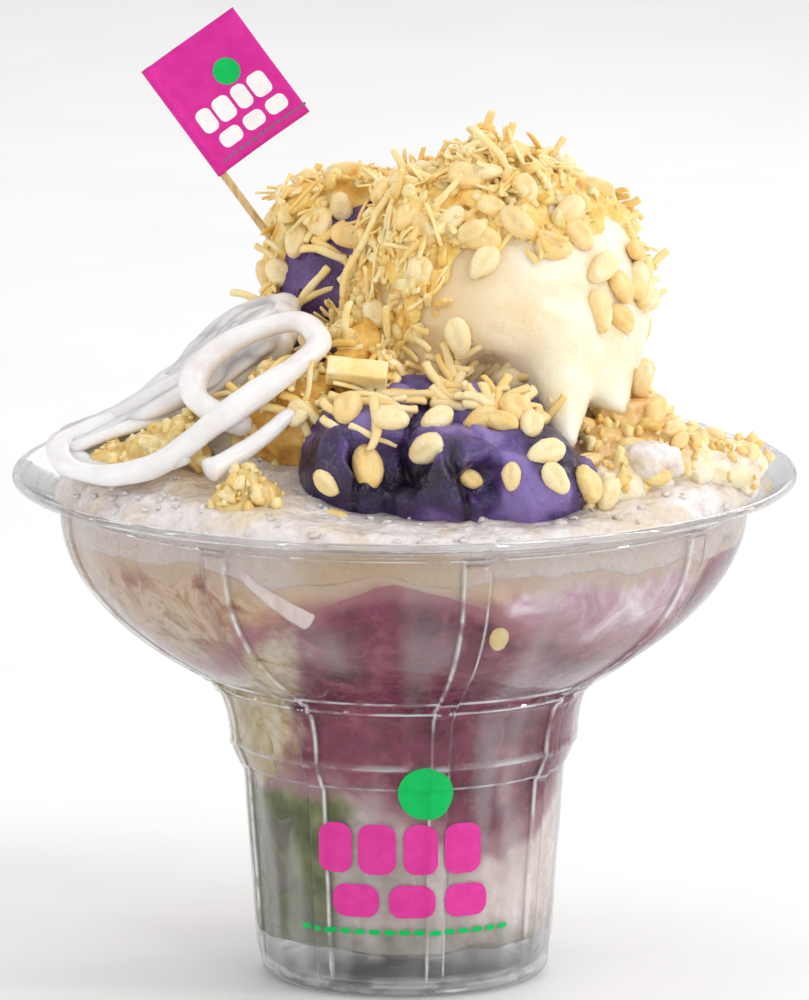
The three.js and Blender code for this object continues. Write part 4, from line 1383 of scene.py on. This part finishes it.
at, out_of_wall = under_wall(15.2, 65.6, 0.7)
ball, ball_faces = unit_ball(10, 16)
ball = ball * (3.4, 2.1, 0.68) * (1 + 0.1 * noise(ball, 0.9, 97)[:, None])
sunk = Heap()
sunk.add(at + ball @ frame_on(out_of_wall, math.radians(80)), ball_faces)
soaked_grain = fruit_look("soaked grain", (196, 166, 96), (220, 194, 126), (234, 216, 160))
sunk.make("sunken_grain", soaked_grain, "crisped_rice")


# ---------------------------------------------------------------- puffed rice
PLACED_GRAINS = (
    # across, height up the front, length, turn in degrees
    (10.1, 131.2, 7.0, 20), (3.5, 122.4, 6.6, 60), (0.5, 124.5, 6.2, 110), (12.8, 121.0, 7.2, 15),
    (18.6, 123.8, 6.8, 40), (7.5, 124.0, 6.0, 140), (2.8, 115.2, 6.6, 70), (13.2, 117.2, 6.8, 120),
    (24.2, 119.6, 7.0, 5), (28.5, 121.5, 6.4, 60), (32.2, 116.2, 7.0, 150), (31.6, 109.0, 7.2, 100),
    (35.5, 108.0, 6.0, 50), (9.0, 105.0, 6.8, 80), (20.0, 129.0, 6.4, 70), (27.0, 125.5, 6.6, 130),
    (-9.2, 92.6, 7.4, 75), (-6.4, 83.2, 8.0, 92), (-2.3, 91.0, 6.4, 10), (5.2, 90.8, 6.8, 140),
    (3.9, 86.6, 7.6, 145), (12.6, 90.8, 6.6, 150), (16.9, 97.4, 7.8, 145), (18.4, 92.6, 7.2, 60),
    (16.0, 90.5, 6.0, 20), (22.8, 85.4, 7.4, 150), (10.6, 81.6, 4.6, 30), (17.6, 82.0, 4.8, 80),
    (20.8, 90.0, 6.0, 100), (24.5, 81.5, 6.0, 60), (29.5, 80.5, 6.8, 70), (33.0, 79.0, 6.2, 120),
    (38.0, 85.5, 7.0, 60), (40.5, 82.0, 6.2, 20), (-12.3, 81.0, 5.4, 40), (-20.5, 115.5, 6.6, 40),
    (-17.5, 121.0, 6.4, 100), (-9.0, 121.5, 6.4, 20), (-13.8, 124.0, 6.8, 60), (-15.0, 104.0, 6.0, 30),
    (-10.5, 126.5, 6.0, 80), (-4.5, 108.5, 6.2, 60),
)  # fmt: skip


def right_flank(p, n):
    return (p[:, 0] > 33) & (p[:, 2] > 95) & (n[:, 0] > 0.3) & (p[:, 2] < 124)


def behind_scoop(p, n):
    return (p[:, 1] > 6) & (p[:, 2] > 97)


def far_mound(p, n):
    return (n[:, 2] > 0.4) & (np.hypot(p[:, 0], p[:, 1]) > 20) & (p[:, 1] > 6) & (p[:, 2] > 84)


big = ("scoop", "jam", "back", "top_cheese", "back_cheese", "valley", "right", "mound")
ground = Ground(*(bodies[name] for name in big))
grains = Heap()
for k, (x, height, length, turn) in enumerate(PLACED_GRAINS):
    found = ground.from_front(x, height)
    if found is not None:
        at, normal = found
        grain(grains, at, 0.65 * normal - 0.35 * FORWARD, length, math.radians(turn), 300 + k)
for name, count, keep, seed, size in (
    ("top_cheese", 26, on_cap, 211, (4.8, 7.0)),
    ("scoop", 20, right_flank, 212, (3.6, 8.4)),
    ("scoop", 34, behind_scoop, 213, (5.4, 7.4)),
    ("back_cheese", 36, off_bare, 214, (4.8, 6.8)),
    ("valley", 12, above(0, 0), 215, (4.5, 6.2)),
    ("right", 20, above(0, 0.1), 216, (3.6, 6.6)),
    ("mound", 46, far_mound, 217, (4.5, 7.0)),
):
    strew_grains(grains, bodies[name], count, keep, seed, size)
grains.make("puffed_rice", grain_look(), "crisped_rice")

# ---------------------------------------------------------------- flag and pick
PICK_LEAN = math.radians(36)
PICK_TOP = np.array([-43.0, 14.0, 149.8])
PICK_LENGTH, PICK_R = 54, 0.65
DOWN_PICK = np.array([math.sin(PICK_LEAN), 0, -math.cos(PICK_LEAN)])
ALONG_LEAF = np.array([math.cos(PICK_LEAN), 0, math.sin(PICK_LEAN)])
FLAG_LONG, FLAG_WIDE, FLAG_HEM = 21.7, 19.4, 1.6
PAPER = 0.22

pick = Heap()
pick.add(*swept(PICK_TOP + np.linspace(0, PICK_LENGTH, 60)[:, None] * DOWN_PICK, PICK_R, 16, up=(0, 1, 0)))
pick.make("wooden_pick", wood_look(), "pick_wood", ["flag_pick"])


def leaf_wave(u, v):
    """How far the paper bends out of flat, in millimetres."""
    broad = 0.5 * np.sin(u * 0.22 + v * 0.05) * np.clip(u / 6, 0, 1)
    return broad + 0.25 * np.sin(v * 0.3 + 1) * u / FLAG_WIDE


def on_leaf(u, v, off):
    """A place on the flag: u from the pick outwards, v up the pick from the flag's foot."""
    u, v, off = np.broadcast_arrays(np.asarray(u, float), np.asarray(v, float), np.asarray(off, float))
    base = PICK_TOP + (FLAG_LONG + 0.2) * DOWN_PICK
    out = (leaf_wave(u, v) + off)[..., None] * np.array([0, 1.0, 0])
    return base + u[..., None] * ALONG_LEAF - v[..., None] * DOWN_PICK + out


def make_flag(material):
    """The paper: one leaf, in a tube round the pick at its near edge."""
    reach = FLAG_WIDE - FLAG_HEM
    wrap = PICK_R + PAPER / 2 + 0.05
    tube = wrap + PAPER / 2
    section = [(u, -PAPER / 2) for u in np.linspace(reach, wrap + 0.6, 26)]
    section += [(tube * math.cos(-a), tube * math.sin(-a)) for a in np.radians(np.linspace(14, 346, 22))]
    section += [(u, PAPER / 2) for u in np.linspace(wrap + 0.6, reach, 26)]
    section = np.array(section)
    rows = [on_leaf(section[:, 0], v, section[:, 1]) for v in np.linspace(0, FLAG_LONG, 24)]
    faces = ring_faces(len(rows), len(section))
    make_mesh("flag_leaf", np.vstack(rows), faces, material, "flag_paper", ["flag_paper"])


make_flag(print_look("pink paper", (214, 42, 152)))


# ---------------------------------------------------------------- the made-up print
def rounded_bar(wide, tall, corner, steps=6):
    """Corner points of a rounded bar centred on zero, counter-clockwise."""
    corner = min(corner, wide / 2, tall / 2)
    points = []
    for k, (sx, sy) in enumerate(((1, 1), (-1, 1), (-1, -1), (1, -1))):
        for a in np.linspace(k * 90, (k + 1) * 90, steps):
            x = sx * (wide / 2 - corner) + corner * math.cos(math.radians(a))
            points.append((x, sy * (tall / 2 - corner) + corner * math.sin(math.radians(a))))
    return np.array(points)


def disc(radius, steps=40):
    a = np.arange(steps) * TAU / steps
    return np.stack([radius * np.cos(a), radius * np.sin(a)], axis=1)


def printed(heap, outline, centre, lay, rings, depth):
    """A flat printed shape: rings of its outline shrinking to its centre, laid on a surface by
    lay(u, v, off), with a thin rim down to the surface."""
    above_rings = [(share, depth) for share in np.linspace(1, 0.02, rings)]
    below_rings = [(share, 0.0) for share in np.linspace(0.02, 1, rings)[:-1]]
    rows = []
    for share, off in [(1, 0.0)] + above_rings + below_rings:
        u, v = (centre + outline * share).T
        rows.append(lay(u, v, off))
    heap.add(np.vstack(rows), ring_faces(len(rows), len(outline), closed=True))


def print_shapes(scale):
    """The made-up print: a disc, two rows of rounded bars and a row of dots under a line.
    (kind, u, v, outline), with sizes for the cup's front, multiplied by scale."""
    shapes = [("green", 3.5, 35.6, disc(4.6))]
    for u, wide in ((-11.6, 5.6), (-4.6, 6.4), (2.6, 5.6), (9.8, 6.6)):
        shapes.append(("bold", u, 25.8, rounded_bar(wide, 8.6, 2.2)))
    for u, wide in ((-8.2, 8.0), (1.2, 7.6), (10.4, 7.6)):
        shapes.append(("bold", u, 16.9, rounded_bar(wide, 5.6, 2.2)))
    for k in range(15):
        shapes.append(("fine", -17.5 + 2.5 * k, 11.6, rounded_bar(1.9, 0.9, 0.4, 3)))
    return [(kind, u * scale, v * scale, outline * scale) for kind, u, v, outline in shapes]


def print_kind(kind, name, ink, scale, shift, lay, rings, depth):
    """All the print of one kind as one piece."""
    heap = Heap()
    for what, u, v, outline in print_shapes(scale):
        if what == kind:
            printed(heap, outline, (u + shift[0], v + shift[1]), lay, rings, depth)
    return heap.make(name, inks[ink], "flag_paper", smooth=False)


def on_cup_front(u, v, off):
    """A place on the cup's front: u across along the wall, v its height."""
    radius = wall_radius(v)
    angle = -TAU / 4 + u / radius
    radius = radius + rib_rise(angle, radius, v) + 0.1 + off
    radius = radius + 0.16 * np.exp(-(((v - 36.4) / 1.6) ** 2))  # clear of the step
    return np.stack([radius * np.cos(angle), radius * np.sin(angle), v], axis=-1)


inks = {
    "green": print_look("green ink", (2, 190, 90)),
    "white": print_look("white ink", (250, 246, 248)),
    "pink": print_look("pink ink", (220, 57, 154)),
    "mauve": print_look("fine green ink", (120, 110, 126)),
}
FLAG_PRINT = 0.5  # size of the flag's print, as a share of the cup's
sides = {
    "front": lambda u, v, off: on_leaf(u, v, -PAPER / 2 + 0.01 - off),
    "back": lambda u, v, off: on_leaf(u, v, PAPER / 2 - 0.01 + off),
}
for side, lay in sides.items():
    for kind, ink in (("green", "green"), ("bold", "white"), ("fine", "mauve")):
        print_kind(kind, f"flag_{side}_{ink}_print", ink, FLAG_PRINT, (8.9, -4.2), lay, 4, 0.03)
for kind, ink in (("green", "green"), ("bold", "pink"), ("fine", "green")):
    print_kind(kind, f"cup_{kind}_print", ink, 1.0, (0, 0), on_cup_front, 12, 0.05).visible_glossy = False

# ---------------------------------------------------------------- loose ice, crumbs and specks
ice = Heap()
draw = np.random.default_rng(401)
for k, (at, normal) in enumerate(scattered(bodies["mound"], 360, above(81.5, 0.3), 402)):
    crumb(ice, at + 0.1 * normal, draw.uniform(0.7, 2.2) * np.array([1, 1, 0.6]), k)
ice.make("loose_ice", mound_look(), "shaved_ice")

bits = Heap()
for name, count, keep in (
    ("top_cheese", 520, on_cap),
    ("back_cheese", 200, off_bare),
    ("valley", 140, above(0, -0.3)),
    ("right", 260, above(0, -0.3)),
    ("left_fruit", 60, above(0, -0.3)),
    ("front_fruit", 34, above(0, -0.3)),
):
    for k, (at, normal) in enumerate(scattered(bodies[name], count, keep, 410 + count)):
        crumb(bits, at + 0.15 * normal, 0.8 + 2.4 * draw.random() ** 2.0, 1000 + k + count)
bits.make("cheese_bits", cheese_pale, "cheese")

SEEDS = (  # across and height up the front
    (-13.4, 101.2), (-12.2, 100.0), (-11.6, 102.6), (-10.6, 101.0), (-14.4, 106.6), (-15.6, 103.4),
    (-12.0, 96.0), (-11.4, 94.6), (-12.8, 108.4), (-5.8, 126.8), (-9.2, 123.4), (-17.0, 112.4),
)  # fmt: skip
specks = Heap()
for x, height in SEEDS:
    found = ground.from_front(x, height)
    if found is not None:
        crumb(specks, found[0] + 0.2 * found[1], rng.uniform(0.9, 1.5), int(x * -10))
specks.make("dark_seeds", print_look("dark seed", (52, 38, 44), 0.1), "ube_jam")


# ---------------------------------------------------------------- floor, light and camera, in metres
def stage_floor():
    mesh = bpy.data.meshes.new("floor")
    size = 12.0
    corners = [(-size, -size, 0), (size, -size, 0), (size, size, 0), (-size, size, 0)]
    mesh.from_pydata(corners, [], [(0, 1, 2, 3)])
    piece = bpy.data.objects.new("floor", mesh)
    bpy.context.scene.collection.objects.link(piece)
    s = Shader("pale floor", 0.7)
    s.colour(s.mottle([(0.3, (246, 246, 246)), (0.7, (250, 250, 250))], 60.0, 2.0))
    mesh.materials.append(s.material)


def look_at(thing, place, aim):
    thing.location = place
    thing.rotation_euler = (Vector(aim) - Vector(place)).to_track_quat("-Z", "Y").to_euler()
    bpy.context.scene.collection.objects.link(thing)


def area_light(name, place, aim, width, height, power):
    data = bpy.data.lights.new(name, "AREA")
    data.shape = "RECTANGLE"
    data.size, data.size_y, data.energy = width, height, power
    look_at(bpy.data.objects.new(name, data), place, aim)


def camera():
    distance, aim = 2.5, Vector((0, 0, 79.6 * MM))
    data = bpy.data.cameras.new("camera")
    data.lens, data.sensor_width = 543, 36
    data.clip_end = 50
    made = bpy.data.objects.new("camera", data)
    look_at(made, aim - distance * Vector(FORWARD), aim)
    bpy.context.scene.camera = made


stage_floor()
HEART = (0, 0, 0.09)
area_light("key", (0.55, -0.32, 0.80), HEART, 0.45, 0.4, 2.4)
area_light("overhead", (-0.1, 0.1, 1.1), HEART, 0.9, 0.5, 1.35)
area_light("back", (0.35, 0.8, 0.55), HEART, 0.8, 0.4, 1.7)
area_light("backdrop", (0, 2.2, 1.5), (0, 2.2, 0), 2.0, 1.2, 9.0)
for turn, power in ((-125, 0.85), (-62, 0.95), (-15, 1.4), (28, 1.0), (170, 0.9), (-160, 0.8)):
    a = math.radians(turn)
    area_light(f"strip {turn}", (0.9 * math.cos(a), 0.9 * math.sin(a), 0.28), (0, 0, 0.06), 0.05, 0.75, power)

scene = bpy.context.scene
world = bpy.data.worlds.new("studio")
scene.world = world
world.use_nodes = True
world.node_tree.nodes["Background"].inputs["Color"].default_value = (1, 1, 1, 1)
world.node_tree.nodes["Background"].inputs["Strength"].default_value = 0.56
scene.view_settings.view_transform = "Standard"
scene.cycles.transparent_max_bounces = 24
camera()
